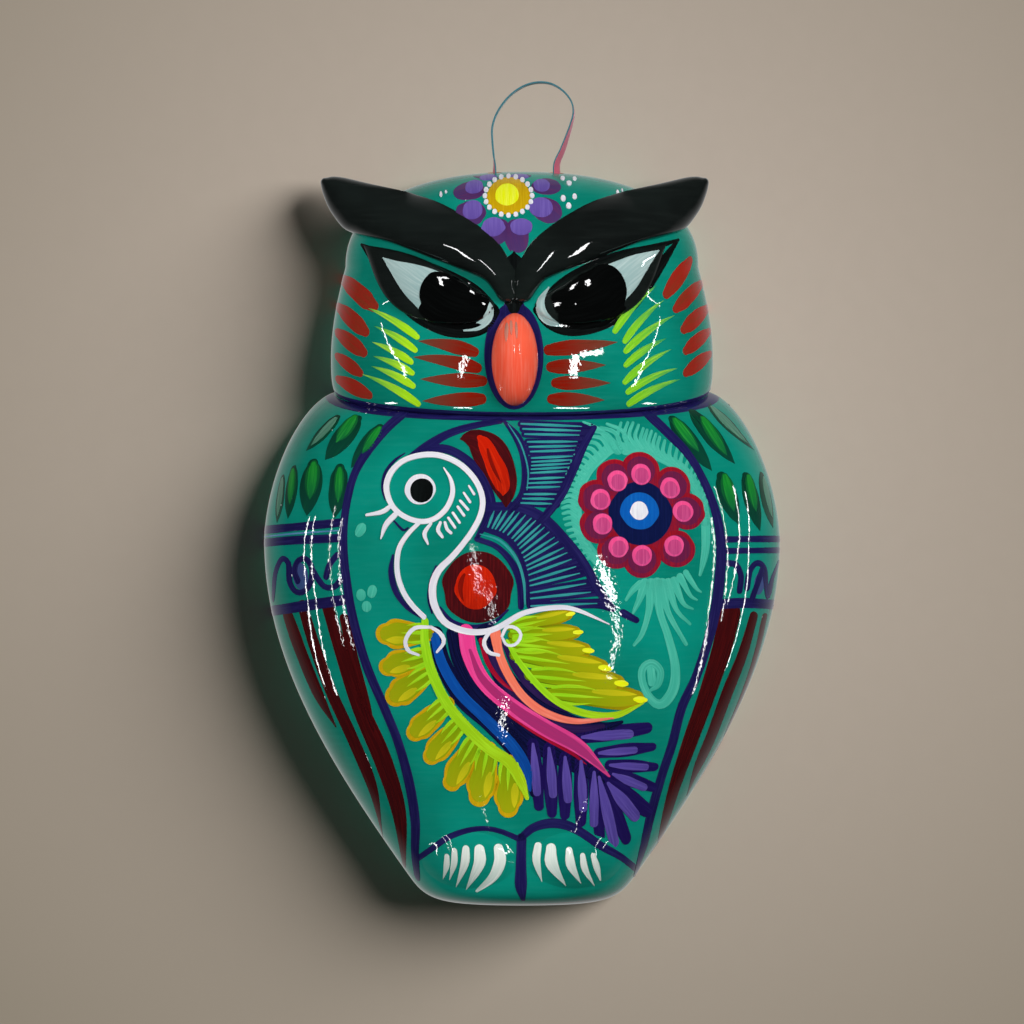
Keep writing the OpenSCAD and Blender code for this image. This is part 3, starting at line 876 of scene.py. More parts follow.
def eye_height(side):
    """How far an eye stands out at a point of the front view."""
    centre, inward, down = eye_axes(side)

    def height(x, z):
        along = (x - centre[0]) * inward[0] + (z - centre[1]) * inward[1]
        below = (x - centre[0]) * down[0] + (z - centre[1]) * down[1]
        shape = eye_shape(np.clip(2 * along / EYE_LENGTH, -1, 1))
        v = (below - EYE_SAG * shape) / np.maximum(EYE_HEIGHT / 2 * shape, 1e-6)
        return EYE_OUT * shape ** 0.7 * np.sqrt(np.clip(1 - v ** 2, 0, 1))

    return height


def make_eye(side, node):
    centre, inward, down = eye_axes(side)
    share = -np.cos(np.linspace(0.02, np.pi - 0.02, 61))
    shape = eye_shape(share)
    middle = centre + np.outer(share * EYE_LENGTH / 2, inward) + np.outer(EYE_SAG * shape, down)
    v = -np.cos(np.linspace(0, np.pi, ACROSS_STEPS))
    height = (EYE_OUT * shape ** 0.7)[:, None] * np.sqrt(1 - v ** 2)
    across = np.tile(down, (len(share), 1))
    loops = pad_loops(middle, across, EYE_HEIGHT / 2 * shape, height, head_seat, PAD_SINK)
    make_piece(node + "_clay", *loft(loops), [BLACK], "eye_paint", node=node)


def oval_height(x0, z0, half_wide, half_tall, out, power):
    """How far an oval pad stands out at a point of the front view."""
    def height(x, z):
        inside = 1 - ((x - x0) / half_wide) ** 2 - ((z - z0) / half_tall) ** 2
        return out * np.clip(inside, 0, 1) ** power

    return height


def make_oval(node, x0, z0, half_wide, half_tall, out, power, seat, material, slot):
    share = -np.cos(np.linspace(0.02, np.pi - 0.02, 57))
    shape = np.sqrt(1 - share ** 2)
    middle = np.stack([np.full_like(share, x0), z0 - share * half_tall], axis=1)
    v = -np.cos(np.linspace(0, np.pi, ACROSS_STEPS))
    height = out * (shape[:, None] ** 2 * (1 - v ** 2)) ** power
    across = np.tile([1.0, 0.0], (len(share), 1))
    loops = pad_loops(middle, across, half_wide * shape, height, seat, PAD_SINK)
    make_piece(node + "_clay", *loft(loops), [material], slot, node=node)


# Brushwork. A stroke is rows of (x, y, width) in photo pixels

def photo_to_skin(shell, px, py):
    """Points of the skin that show at photo pixels."""
    x_wall = (px - AXIS_PX) * MM_PER_PX
    z_wall = CROWN - (py - CROWN_PX) * MM_PER_PX
    depth = np.zeros_like(px)
    for _ in range(SETTLING):
        near = 1 - depth / CAMERA_DISTANCE
        x = VIEW_X + (x_wall - VIEW_X) * near
        z = VIEW_Z + (z_wall - VIEW_Z) * near
        depth = skin_step(shell, x, depth, z)
    return on_skin(shell, np.stack([x, -depth, z], axis=1))


def capped(rows):
    """Rows with round ends where a stroke doesn't come to a point."""
    turns = np.radians([15, 30, 45, 60, 74, 90])
    parts = [rows]
    for end, inner, front in ((rows[0], rows[1], True), (rows[-1], rows[-2], False)):
        if end[2] > 0.5:
            run = unit((end - inner)[:2])
            cap = [np.append(end[:2] + run * end[2] / 2 * np.sin(t), end[2] * np.cos(t)) for t in turns]
            parts = [cap[::-1]] + parts if front else parts + [cap]
    return np.concatenate(parts)


def strip(centre, width, shell, layer, relief=None, seen=True):
    """A closed strip of paint along a line on the skin, flat on top with steep edges."""
    count = len(centre)
    along = lengths_along(centre)
    normal = skin_normal(shell, centre)
    sideways = unit(np.cross(normal, unit(np.gradient(centre, axis=0))))
    half = width / 2
    if seen:
        half = half / np.maximum(SEEN_LEAST, np.hypot(sideways[:, 0], sideways[:, 2]))
    step = STROKE_STEP / 2 if relief else STROKE_STEP
    inner = int(np.clip(2 * half.max() / step + 2, 3, COLUMNS_MOST))
    edge = EDGE_WIDTH / max(half.max(), 3 * EDGE_WIDTH)
    v = np.concatenate([[-1], np.linspace(edge - 1, 1 - edge, inner), [1]])
    sides = len(v)
    points = centre[:, None, :] + sideways[:, None, :] * (half[:, None] * v)[..., None]
    flat = on_skin(shell, points.reshape(-1, 3))
    lift = np.full((count, sides), layer * LAYER_STEP + STROKE_THICK)
    for sunk in (lift[0], lift[-1], lift[:, 0], lift[:, -1]):
        sunk[:] = -EDGE_SINK
    if relief:
        raised = skin_depth(shell, flat[:, 0], flat[:, 2]) + relief(flat[:, 0], flat[:, 2])
        flat[:, 1] = -raised - lift.ravel()
    else:
        flat = flat + np.repeat(normal, sides, axis=0) * lift.reshape(-1, 1)
    faces = []
    for i in range(count - 1):
        a, b = i * sides, (i + 1) * sides
        for j in range(sides - 1):
            faces.append((a + j, b + j, b + j + 1, a + j + 1))
        faces.append((a + sides - 1, b + sides - 1, b, a))
    values = {
        "side_mm": (half[:, None] * v).ravel(),
        "run_mm": np.repeat(along, sides),
        "along": np.repeat(along / along[-1], sides),
        "seed": np.full(count * sides, draws.random()),
    }
    return flat, faces, values


def brush_stroke(rows, shell, layer, relief):
    """A strip along rows of pixels, with a hand's small unevenness in its width."""
    rows = np.array(rows, float)
    spans = np.linalg.norm(np.diff(rows[:, :2], axis=0), axis=1)
    dense = smooth_rows(rows, int(np.clip(spans.max() / 1.5, 6, 60)))
    dense[:, 2] = np.maximum(dense[:, 2], 0)
    dense = capped(dense)
    centre = photo_to_skin(shell, dense[:, 0], dense[:, 1])
    along = lengths_along(centre)
    count = int(np.clip(along[-1] / STROKE_STEP, 40 if dense[:, 2].max() > 15 else 16, 160))
    stops = along[-1] * (1 - np.cos(np.linspace(0, np.pi, count))) / 2
    x, y, width = (np.interp(stops, along, column) for column in dense.T)
    hand = smooth_rows(draws.uniform(1 - HAND, 1 + HAND, (6, 1)), 10)[:, 0]
    uneven = np.interp(stops, np.linspace(0, along[-1], len(hand)), hand)
    centre = photo_to_skin(shell, x, y)
    return strip(centre, width * uneven * MM_PER_PX, shell, layer, relief)


def join_strips(name, paint, strips):
    points, faces, start = [], [], 0
    for flat, part, _ in strips:
        faces += [tuple(i + start for i in face) for face in part]
        points.append(flat)
        start += len(flat)
    values = {key: np.concatenate([s[2][key] for s in strips]) for key in strips[0][2]}
    piece = make_piece(name, np.concatenate(points), faces, [paints[paint]], "glazed_clay", values=values)
    piece.data.set_sharp_from_angle(angle=math.radians(35))


def brush(name, paint, strokes, shell="body", layer=1, relief=None):
    """Strokes of one paint as one piece."""
    join_strips(name, paint, [brush_stroke(rows, shell, layer, relief) for rows in strokes])


def line(points, width):
    return [(x, y, width) for x, y in points]


def oval(x, y, half_wide, half_tall, turn=0):
    """Rows that fill an oval."""
    lean = np.array([math.sin(math.radians(turn)), math.cos(math.radians(turn))])
    return [(*(np.array([x, y]) - lean * half_tall * math.cos(t)), 2 * half_wide * math.sin(t))
            for t in np.linspace(0, np.pi, 13)]


def lidded_oval(x, y, half_wide, half_tall, lid_start, lid_end):
    """Rows that fill the part of an oval below a straight lid, which runs from left to right."""
    size = np.array([half_wide, half_tall])
    start = (np.array(lid_start) - (x, y)) / size
    run = unit(np.array(lid_end, float) - lid_start)
    down = np.array([-run[1], run[0]])
    along, below = run / size, down / size
    rows = []
    for s in np.linspace(-2 * half_wide, 3 * half_wide, 801):
        at = start + s * along
        half_b, square = at @ below, below @ below
        rest = half_b ** 2 - square * (at @ at - 1)
        if rest > 0:
            top = max(0, (-half_b - math.sqrt(rest)) / square)
            bottom = (-half_b + math.sqrt(rest)) / square
            if bottom > top:
                middle = np.array(lid_start) + s * run + (top + bottom) / 2 * down
                rows.append((*middle, bottom - top))
    picks = (len(rows) - 1) * (1 - np.cos(np.linspace(0, np.pi, 15))) / 2
    inner = [rows[round(pick)] for pick in picks[1:-1]]
    return [(*rows[0][:2], 0), *inner, (*rows[-1][:2], 0)]


# Pressure of the brush at shares of a stroke
COMMA = [(0, 0.72), (0.12, 0.92), (0.3, 1), (0.55, 0.8), (0.8, 0.42), (1, 0)]
LEAF = [(0.08, 0.5), (0.2, 0.86), (0.4, 1), (0.6, 0.95), (0.82, 0.6), (1, 0)]
DAB = [(0.12, 0.62), (0.28, 0.92), (0.5, 1), (0.72, 0.92), (0.88, 0.6)]
BLADE = [(0, 0.5), (0.35, 0.82), (0.66, 1), (0.8, 0.92), (0.88, 0.72)]


def press(pressure, x0, y0, x1, y1, width, bend=0.0):
    """Rows of a stroke from one point to another, bent by a share of its length."""
    start, end = np.array([x0, y0], float), np.array([x1, y1], float)
    side = np.array([start[1] - end[1], end[0] - start[0]])
    return [(*(start + (end - start) * t + side * bend * 4 * t * (1 - t)), width * w)
            for t, w in pressure]


def comma(*stroke):
    """A loaded brush set down round at one end and drawn out to a point."""
    return press(COMMA, *stroke)


def leaf(*stroke):
    """A stroke pressed in its middle, blunt where it starts and pointed where it ends."""
    return press(LEAF, *stroke)


def dab(*stroke):
    """A short, full stroke with round ends."""
    return press(DAB, *stroke)


def blade(*stroke):
    """A feather: narrow at the spine, round at its tip."""
    return press(BLADE, *stroke)


def between(first, second, count):
    """Straight rows from one edge to another, evenly spread."""
    a, b = smooth_rows(first, 12), smooth_rows(second, 12)
    for t in np.linspace(0, 1, count):
        yield a[round(t * (len(a) - 1))], b[round(t * (len(b) - 1))]


def paint_crown():
    heart = (508.5, 196)
    petals = [(468.5, 190.5, 10.5, 15.5, -75), (486, 177.5, 3.4, 12, 84), (518.5, 176.6, 3, 13, 95),
              (546.5, 186.3, 9.6, 14.5, 80), (547, 210, 14, 15, 40), (470, 213, 14, 14, -50),
              (497, 232, 12, 14, -25), (517, 236, 12, 17, 10)]
    shines = [(474, 187, 9.4, 6.8), (488, 177.6, 9.4, 2.8), (519, 176.6, 10, 2.4),
              (541.7, 185.6, 8.6, 6.4), (541, 207.6, 11.8, 9.9), (472.5, 210, 10.2, 9.6),
              (493.3, 227, 11.7, 9.6), (521.3, 227, 11.2, 8.4)]
    low_petal = leaf(505, 224, 511, 252, 8)
    yolk = oval(507, 195, 12, 11)
    brush("crown_petals", "crown_plum", [oval(*p) for p in petals] + [low_petal], "head", 1)
    brush("crown_petal_shines", "crown_violet", [oval(*s) for s in shines], "head", 3)
    brush("crown_heart_ring", "ochre", [oval(*heart, 22, 18.5)], "head", 4)
    brush("crown_heart", "yellow", [yolk], "head", 5)
    dots = [(heart[0] + 23.5 * math.cos(t), heart[1] + 19.5 * math.sin(t), 2.5, 2.5)
            for t in np.linspace(0, 2 * np.pi, 20, endpoint=False)]
    dots += [(562.7, 178.4, 2.4, 2), (569.1, 183.4, 2.8, 2.3), (574.6, 178.8, 2.2, 1.8),
             (563.2, 198.6, 2.6, 3), (574.6, 196.7, 2.4, 2.8), (568.7, 205.9, 2.8, 3),
             (441, 194.5, 1.5, 2.6), (446, 192, 1.2, 1.4), (617.5, 192.5, 1.6, 2.2),
             (622, 190.5, 1.2, 1.4)]
    brush("crown_dots", "white", [oval(*d) for d in dots], "head", 6)


def paint_face():
    outlines = {
        "eye_left": [
            [(362, 245, 3), (390, 256, 8), (420, 264.5, 10), (450, 276, 10), (475, 289.5, 10),
             (494, 309, 10)],
            [(362, 245, 3), (378, 266, 10), (394, 290, 13), (414, 312, 15), (441, 327, 15),
             (465, 331, 14), (484, 327, 12), (495, 312, 10)],
        ],
        "eye_right": [
            [(678, 240, 3), (650, 248.5, 8), (618, 256.5, 10), (588, 268, 10), (560, 285, 10),
             (539, 309, 10)],
            [(678, 240, 3), (662, 263, 10), (643, 290, 13), (621, 312, 15), (595, 325, 15),
             (569, 329, 14), (550, 323, 12), (538, 310, 10)],
        ],
    }
    left_whites = [
        [(383, 258, 1), (393, 266, 12), (404, 274, 24), (417, 283, 35), (430, 291, 42)],
        [(484, 297, 1), (490, 308, 7), (487, 319, 10), (478, 326, 9), (464, 330.5, 2)],
    ]
    right_whites = [
        [(659, 250.5, 1), (648, 258, 12), (637, 266, 23), (625, 276, 33), (610, 287, 42)],
        [(549, 287, 1), (541, 300, 7), (541.5, 312, 10), (549, 321, 9), (562, 326, 2)],
    ]
    left_iris = lidded_oval(454, 298, 36, 30, (420, 260), (485, 292.5))
    right_iris = lidded_oval(589.5, 294.5, 39, 31.5, (548, 294), (618, 254.5))
    for node, side, whites, iris in (("eye_left", -1, left_whites, left_iris),
                                     ("eye_right", 1, right_whites, right_iris)):
        brush(node + "_outline", "black", outlines[node], "head", 1)
        brush(node + "_white", "sclera", whites, "head", 3, eye_height(side))
        brush(node + "_iris", "iris", [iris], "head", 6, eye_height(side))
    beak_x, beak_y = 514, 357
    rim = [(beak_x + 25.5 * math.sin(t), beak_y - 49.5 * math.cos(t), 8.5 + 2 * math.cos(t))
           for t in np.linspace(0, 2 * np.pi, 25)]
    root = [(beak_x, 303, 20), (beak_x, 313, 26)]
    brush("beak_outline", "navy", [rim, root], "head", 1)
    clouds = [leaf(507, 322, 506, 343, 4), leaf(511, 320, 511.5, 336, 3), leaf(516, 321, 517, 340, 2.5)]
    brush("beak_clouds", "beak_shade", clouds, "head", 1, oval_height(FACE_SHIFT, BEAK_Z, *BEAK_SHAPE))
    bridge = [(beak_x, 253, 3), (beak_x, 262, 22), (beak_x, 275, 32), (beak_x, 290, 30),
              (beak_x, 300, 22), (beak_x, 308, 12)]
    brush("bridge", "black", [bridge], "head", 2)
    reds = [((340, 277), (378, 310), 18), ((336, 305), (369, 335), 17), ((335, 331), (367, 355), 16),
            ((335, 355), (363, 375), 14), ((335, 378), (373, 397), 15), ((693, 257), (663, 299), 15),
            ((703, 282), (673, 312), 15), ((709, 307), (681, 332), 15), ((711, 330), (683, 353), 14),
            ((712, 353), (683, 375), 14)]
    brush("cheek_outer_reds", "cheek_red", [dab(*a, *b, w) for a, b, w in reds], "head", 1)
    rusts = [((474, 352), (418, 341), 14, 0.03), ((477, 368), (413, 357), 14, 0.03),
             ((482, 381), (420, 379), 15, 0), ((481, 399), (422, 401), 15, 0),
             ((549, 350), (618, 342), 15, 0), ((551, 367), (606, 365), 14, 0),
             ((556, 383), (611, 383), 14, 0), ((552, 399), (605, 400), 14, 0)]
    brush("cheek_inner_reds", "cheek_rust", [comma(*a, *b, w, c) for a, b, w, c in rusts], "head", 1)
    limes = [((417, 337), (368, 308)), ((415, 350), (374, 326)), ((411, 362), (372, 342)),
             ((412, 373), (373, 356)), ((413, 386), (371, 366)), ((418, 404), (362, 374))]
    greens = [((615, 331), (657, 285)), ((625, 341), (664, 300)), ((626, 351), (675, 315)),
              ((626, 365), (667, 338)), ((625, 382), (672, 349)), ((628, 392), (678, 368)),
              ((629, 404), (681, 379))]
    brush("cheek_limes_left", "lime", [comma(*a, *b, 8, 0.04) for a, b in limes], "head", 2)
    brush("cheek_limes_right", "lime_green", [comma(*a, *b, 8, -0.05) for a, b in greens], "head", 2)


def paint_neck_and_panel():
    angles = np.linspace(0.004, np.pi - 0.004, 190)
    swell = 1 + 0.25 * np.sin(3 * angles + 0.6)
    above = ring_point("head", angles, np.full_like(angles, NECK_DROP - 0.5))
    below = ring_point("body", angles, np.full_like(angles, NECK_DROP + 0.8))
    join_strips("neck_band_above", "navy", [strip(above, 1.8 * swell, "head", 1, seen=False)])
    join_strips("neck_band_below", "navy", [strip(below, 2.6 * swell, "body", 1, seen=False)])
    left = [(404, 413, 9), (386, 429, 9), (367, 452, 9), (355, 473, 8), (348, 497, 8), (344, 524, 8),
            (343.5, 553, 9), (347, 584, 9), (353, 618, 9), (366, 664, 9), (384, 707, 9), (398, 742, 9),
            (409, 782, 10), (415, 820, 10), (415, 852, 9), (417, 876, 8)]
    right = [(646, 412, 10), (670, 435, 9), (690, 457, 8), (706, 486, 8), (717, 517, 9), (721, 547, 10),
             (720, 576, 11), (716, 607, 11), (709, 638, 10), (696, 677, 9), (682, 707, 9), (672, 745, 9),
             (663, 772, 9), (652, 810, 10), (644, 845, 10), (636, 873, 8)]
    brush("panel_lines", "navy", [left, right], "body", 2)


def paint_wings():
    leaves = [((340, 414), (306, 451), 10), ((359, 416), (325, 460), 18), ((382, 424), (351, 468), 14),
              ((294, 464), (288, 519), 11), ((313, 460), (307, 516), 20), ((340, 464), (335, 518), 17),
              ((283, 473), (277, 523), 8), ((670, 415), (712, 471), 16), ((690, 408), (735, 464), 15),
              ((706, 402), (754, 450), 10), ((720, 472), (738, 524), 17), ((745, 471), (760, 531), 14),
              ((761, 470), (773, 528), 10)]
    brush("wing_leaves", "leaf_dark", [leaf(*a, *b, w * 1.12) for a, b, w in leaves], "body", 1)
    shines = [((356, 415), (336, 443), 9), ((314, 461), (310, 500), 10), ((340, 466), (338, 503), 7),
              ((293, 467), (290, 505), 6), ((673, 417), (699, 452), 8), ((701, 415), (727, 456), 8),
              ((724, 473), (734, 512), 9), ((748, 473), (756, 512), 7), ((381, 426), (362, 454), 7)]
    brush("wing_leaf_sheens", "leaf_mid", [leaf(*a, *b, 1.5 * w) for a, b, w in shines], "body", 2)
    brush("wing_leaf_shines", "leaf_bright", [leaf(*a, *b, w) for a, b, w in shines], "body", 3)
    greys = [((338, 416), (311, 446), 6.5), ((709, 404), (748, 444), 7.5), ((763, 474), (772, 518), 6),
             ((283, 475), (277.5, 517), 5.5)]
    brush("wing_leaf_greys", "leaf_grey", [leaf(*a, *b, w) for a, b, w in greys], "body", 3)
    bands = [
        line([(258, 530.5), (290, 527.5), (341, 522.5)], 8.5),
        line([(258, 543.5), (290, 540.5), (341, 538)], 8.5),
        line([(258, 613), (297, 607), (343, 600)], 10.5),
        line([(726, 539.5), (756, 539), (794, 539)], 6.5),
        line([(726, 551), (756, 550.5), (794, 550)], 6),
        line([(721, 604), (747, 603), (794, 606)], 10),
    ]
    waves = [
        [(273, 598), (275.5, 573), (282, 559), (288.5, 564), (289.5, 581), (295, 591), (303, 592),
         (310, 584), (312, 569), (306, 559), (298, 561), (294.5, 571), (298, 581)],
        [(312, 569), (318, 579), (325, 587), (334, 587), (340, 581)],
        [(337, 555), (329.5, 565), (326, 577)],
        [(727, 563), (736, 565), (741, 576), (739.5, 591)],
        [(747, 588), (750, 571), (757, 563), (764, 568), (766, 584), (768, 597), (773, 577), (778, 564)],
        [(762, 570), (757, 585), (752, 599)],
    ]
    brush("wing_bands", "navy", bands + [line(w, 6.2) for w in waves], "body", 1)
    hearts = [oval(300, 576, 8, 14, 12), oval(760, 583, 6, 12, -14)]
    brush("wing_scroll_hearts", "violet_wash", hearts, "body", 0)
    pale_line = [(262, 537, 1), (290, 534, 2), (338, 530.5, 1.4)]
    brush("wing_band_lines", "pale_blue", [pale_line], "body", 2)
    stripes = [
        [(287, 614, 11), (299, 648, 12), (317, 692, 11), (336, 727, 1)],
        [(302, 605, 10), (315, 648, 12), (331, 692, 12), (352, 738, 12), (372, 787, 11), (383, 838, 1)],
        [(328, 608, 12), (340, 648, 13), (359, 705, 16), (382, 759, 19), (398, 810, 16), (404, 864, 6)],
        [(344, 618, 9), (354, 662, 11), (366, 708, 10), (374, 732, 1)],
        [(731, 613, 22), (722, 650, 20), (707, 696, 17), (690, 743, 16), (675, 787, 14), (663, 830, 12),
         (656, 853, 3)],
        [(754, 616, 9), (743, 654, 11), (728, 692, 12), (711, 738, 12), (696, 772, 8), (687, 795, 1)],
        [(765, 616, 6), (758, 648, 7), (747, 683, 7), (730, 724, 6), (711, 762, 4), (696, 788, 1)],
    ]
    brush("wing_stripes", "wing_maroon", stripes, "body", 0)


def paint_bird():
    shadow = [
        [(409, 455, 1), (427, 446, 9), (448, 434, 8), (473, 426, 7), (500, 421, 6)],
        [(409, 455, 1), (428, 450, 8), (446, 449, 9), (463, 457, 9), (477, 470, 9), (486, 486, 9),
         (491, 503, 10), (488, 518, 10), (478, 536, 5)],
        [(385, 500, 1), (382.5, 488, 3), (385, 473, 3), (394, 461, 3), (405, 453, 1)],
        [(393, 555, 2), (391, 572, 6), (396, 592, 6), (408, 608, 5), (424, 619, 2)],
        [(394, 521, 2), (403, 530, 3), (408, 528, 2)],
        [(504, 421, 3), (517, 437, 9), (524, 455, 9), (526, 477, 9), (523, 496, 10), (512, 508, 8)],
        [(477, 539, 6), (497, 547, 6), (512, 563, 7), (519.5, 582, 7), (521, 607, 6)],
        [(484, 529, 5), (505, 537, 7), (520, 554, 7), (527, 577, 6), (529, 606, 5)],
        [(436, 566, 2), (431, 580, 3), (428.5, 598, 3), (432, 613, 2)],
        [(440, 607, 2), (453, 622, 5), (474, 627, 5), (494, 622, 4), (508, 610, 2)],
        [(488, 507, 9), (518, 507, 9), (543, 518, 10), (565, 539, 9), (583, 562, 9), (598, 589, 9),
         (611, 607, 7)],
        [(594, 428, 6), (582, 449, 9), (573, 470, 9), (563, 492, 9), (551, 509, 9), (541, 521, 8)],
        [(530, 610, 5), (560, 604, 8), (597, 604, 9), (612, 608, 8)],
        [(623, 613, 8), (636, 620, 7)],
    ]
    brush("bird_outline", "navy", shadow, "body", 2)
    fans = [
        (([(521, 424), (531, 454), (530, 477), (521, 503)],
          [(590, 427), (580, 452), (570, 475), (556, 504)]), 17, 7),
        (([(488, 527), (501, 531), (514, 540), (522, 553), (527, 567), (530, 584), (531, 606)],
          [(495, 509), (518, 509), (537, 517), (553, 529), (570, 547), (585, 569), (606, 603)]), 21, 8),
    ]
    ground, hatch = [], []
    for edges, count, width in fans:
        for start, end in between(*edges, count):
            ground.append([(*start, width), (*((start + end) / 2), width + 1), (*end, width + 2)])
            hatch.append([(*start, 1.8), (*((start + end) / 2), 3), (*(start + (end - start) * 0.88), 1)])
    brush("fan_ground", "navy", ground, "body", 1)
    brush("fan_hatching", "hatch", hatch, "body", 3)
    gaps = [[(508, 424, 1), (521, 445, 2), (528, 470, 2), (527, 490, 1)],
            [(480, 534, 1), (500, 541, 2.6), (516, 558, 3), (523.5, 580, 3), (525, 604, 2)]]
    brush("fan_gaps", "hatch", gaps, "body", 3)
    maroons = [[(461, 439, 2), (467, 438, 12), (476, 440, 22), (487, 449, 33), (497, 464, 34),
                (503, 480, 28), (506, 495, 17), (506, 506, 3)],
               oval(477.5, 587, 35, 36)]
    brush("bird_maroons", "maroon", maroons, "body", 3)
    reds = [[(480, 438, 6), (484, 443, 13), (491, 457, 17), (499, 475, 19), (503, 488, 14),
             (503, 495, 2)],
            oval(475.5, 587, 20.5, 22.5)]
    brush("bird_reds", "red", reds, "body", 4)
    shades = [leaf(487, 446, 502, 484, 4, 0.05), leaf(466, 572, 464, 602, 5, 0.15)]
    brush("bird_red_shades", "red_shade", shades, "body", 6)
    spiral = [(444, 468, 1.5), (451, 480, 4.5), (452.5, 494, 6), (446, 509, 6.5), (434, 519, 6.5),
              (420, 521.5, 6.5), (404.5, 516.5, 6.5), (392.5, 506, 6.5), (386.5, 489, 7),
              (390.5, 473.5, 7), (402.5, 461.5, 6.5), (420, 455.5, 7), (439, 455.5, 7), (458, 463, 7),
              (471.5, 475, 7), (480, 489, 7), (482.8, 503, 7), (480, 516.5, 7), (473, 530, 7),
              (463, 544, 7), (451, 558, 7.5), (439, 570, 8.5), (433, 584, 9), (433, 599, 9),
              (437, 611, 8.5), (446, 623, 8), (463, 630.5, 8), (481, 632, 7.5), (498, 627.5, 7),
              (524, 613, 6.5), (555, 607.5, 6), (577, 610, 5), (609, 624, 1.5)]
    breast = [(420, 522, 5), (408, 534, 5.5), (399.5, 547.5, 6), (397, 563, 6), (398.5, 578.5, 6),
              (404.5, 594, 6), (413, 606, 6), (424, 617, 6)]
    beak = [[(391, 506, 4), (382, 512, 5), (367, 515, 3)],
            [(395, 515, 6), (386, 525, 5.5), (381, 539, 1)]]
    dashes = [
        [(469, 486, 2), (474, 494, 3)], [(464, 493, 2.5), (470, 502, 3)],
        [(460.5, 501, 3), (468, 509.5, 3)], [(458, 507, 3), (464, 515.5, 3)],
        [(453, 513, 3), (459.5, 522.5, 3)], [(448.5, 518, 3), (455, 527.5, 3)],
        [(445, 522.5, 3), (447, 529, 3.5), (451, 533, 3)],
        [(440.5, 522.5, 3), (438, 530, 4), (442.5, 537, 3)],
        [(431, 523.5, 3), (424.5, 533.5, 4.5), (428, 544, 2)],
    ]
    curls = [[(431, 627, 4), (415, 628, 5), (406, 639, 5), (408, 650, 5), (419, 655, 3)],
             [(431, 627, 4), (440, 633, 5), (444, 642, 5), (437, 652, 3)],
             [(490, 631, 5), (484, 642, 5), (488.5, 652, 5), (499, 655, 4)],
             [(502, 636, 4), (507, 627, 4.5), (516, 628, 4.5), (521, 635, 4.5), (516, 644, 4),
              (507, 645, 4), (502.5, 638, 3)]]
    slimmer = 0.85
    outlines = [[(x, y, slimmer * width) for x, y, width in rows] for rows in [spiral, breast] + curls]
    brush("bird_white", "white", outlines + beak + dashes, "body", 8)
    eye_white, pupil = oval(420, 489.3, 15.3, 15.3), oval(421.7, 490.6, 12, 12)
    brush("bird_eye_white", "white", [eye_white], "body", 4)
    brush("bird_eye", "black", [pupil], "body", 5)


def paint_feathers():
    spine = [(425, 621, 7), (425, 643, 9), (431.5, 671, 10), (446.5, 703, 11), (468, 729, 11),
             (490, 749, 12), (509, 762, 12), (520, 779, 11), (527, 798, 4)]
    left = [((427, 634), (381, 634), 30), ((425, 656), (384, 668), 28), ((429, 673), (391, 699), 29),
            ((448, 703), (411, 736), 26), ((461, 723), (428, 760), 26), ((476, 740), (449, 787), 27),
            ((489, 749), (478, 802), 31), ((510, 762), (508, 813), 30)]
    right = [((509, 627), (575, 613), 16), ((512, 635), (583, 632), 18), ((511, 643), (594, 651), 20),
             ((515, 655), (612, 669), 23), ((530, 675), (628, 684), 24), ((550, 693), (647, 700), 24)]

    def inner(root, tip, near, far, off):
        """A line along a feather, a little to one side of its middle."""
        root, tip = np.array(root, float), np.array(tip, float)
        side = unit(np.array([root[1] - tip[1], tip[0] - root[0]])) * off
        return root + (tip - root) * near + side, root + (tip - root) * far + side

    feathers = left + right
    brush("feather_edges_left", "ochre", [blade(*r, *t, w) for r, t, w in left], "body", 3)
    brush("feather_edges_right", "olive_dark", [blade(*r, *t, w) for r, t, w in right], "body", 3)
    blades = [blade(*r, *(np.array(r) + (np.array(t) - r) * 0.95), w * 0.78) for r, t, w in feathers]
    brush("feather_blades", "olive", blades, "body", 4)
    glows, streaks = [], []
    for root, tip, width in feathers:
        a, b = inner(root, tip, 0.4, 0.9, -0.2 * width)
        glows.append(leaf(*a, *b, 0.26 * width))
        for off, far, bend in ((-0.24, 0.5, -0.06), (0.04, 0.58, 0), (0.28, 0.45, 0.06)):
            a, b = inner(root, tip, 0.02, far, off * width)
            streaks.append(comma(*a, *b, 4, bend))
    brush("feather_glows", "feather_glow", glows, "body", 5)
    brush("feather_streaks", "feather_lime", streaks, "body", 6)
    right_spine = [(507, 641, 4), (520, 663, 6), (540, 687, 7), (561, 704, 7), (588, 714, 7),
                   (616, 715, 7), (643, 703, 2)]
    brush("feather_spines", "feather_lime", [spine, right_spine], "body", 7)
    tips = []
    for root, tip, width in right:
        a, b = inner(root, tip, 0.86, 1.0, 0)
        tips.append(dab(*a, *b, 0.28 * width))
    brush("feather_tips", "yellow", tips, "body", 7)


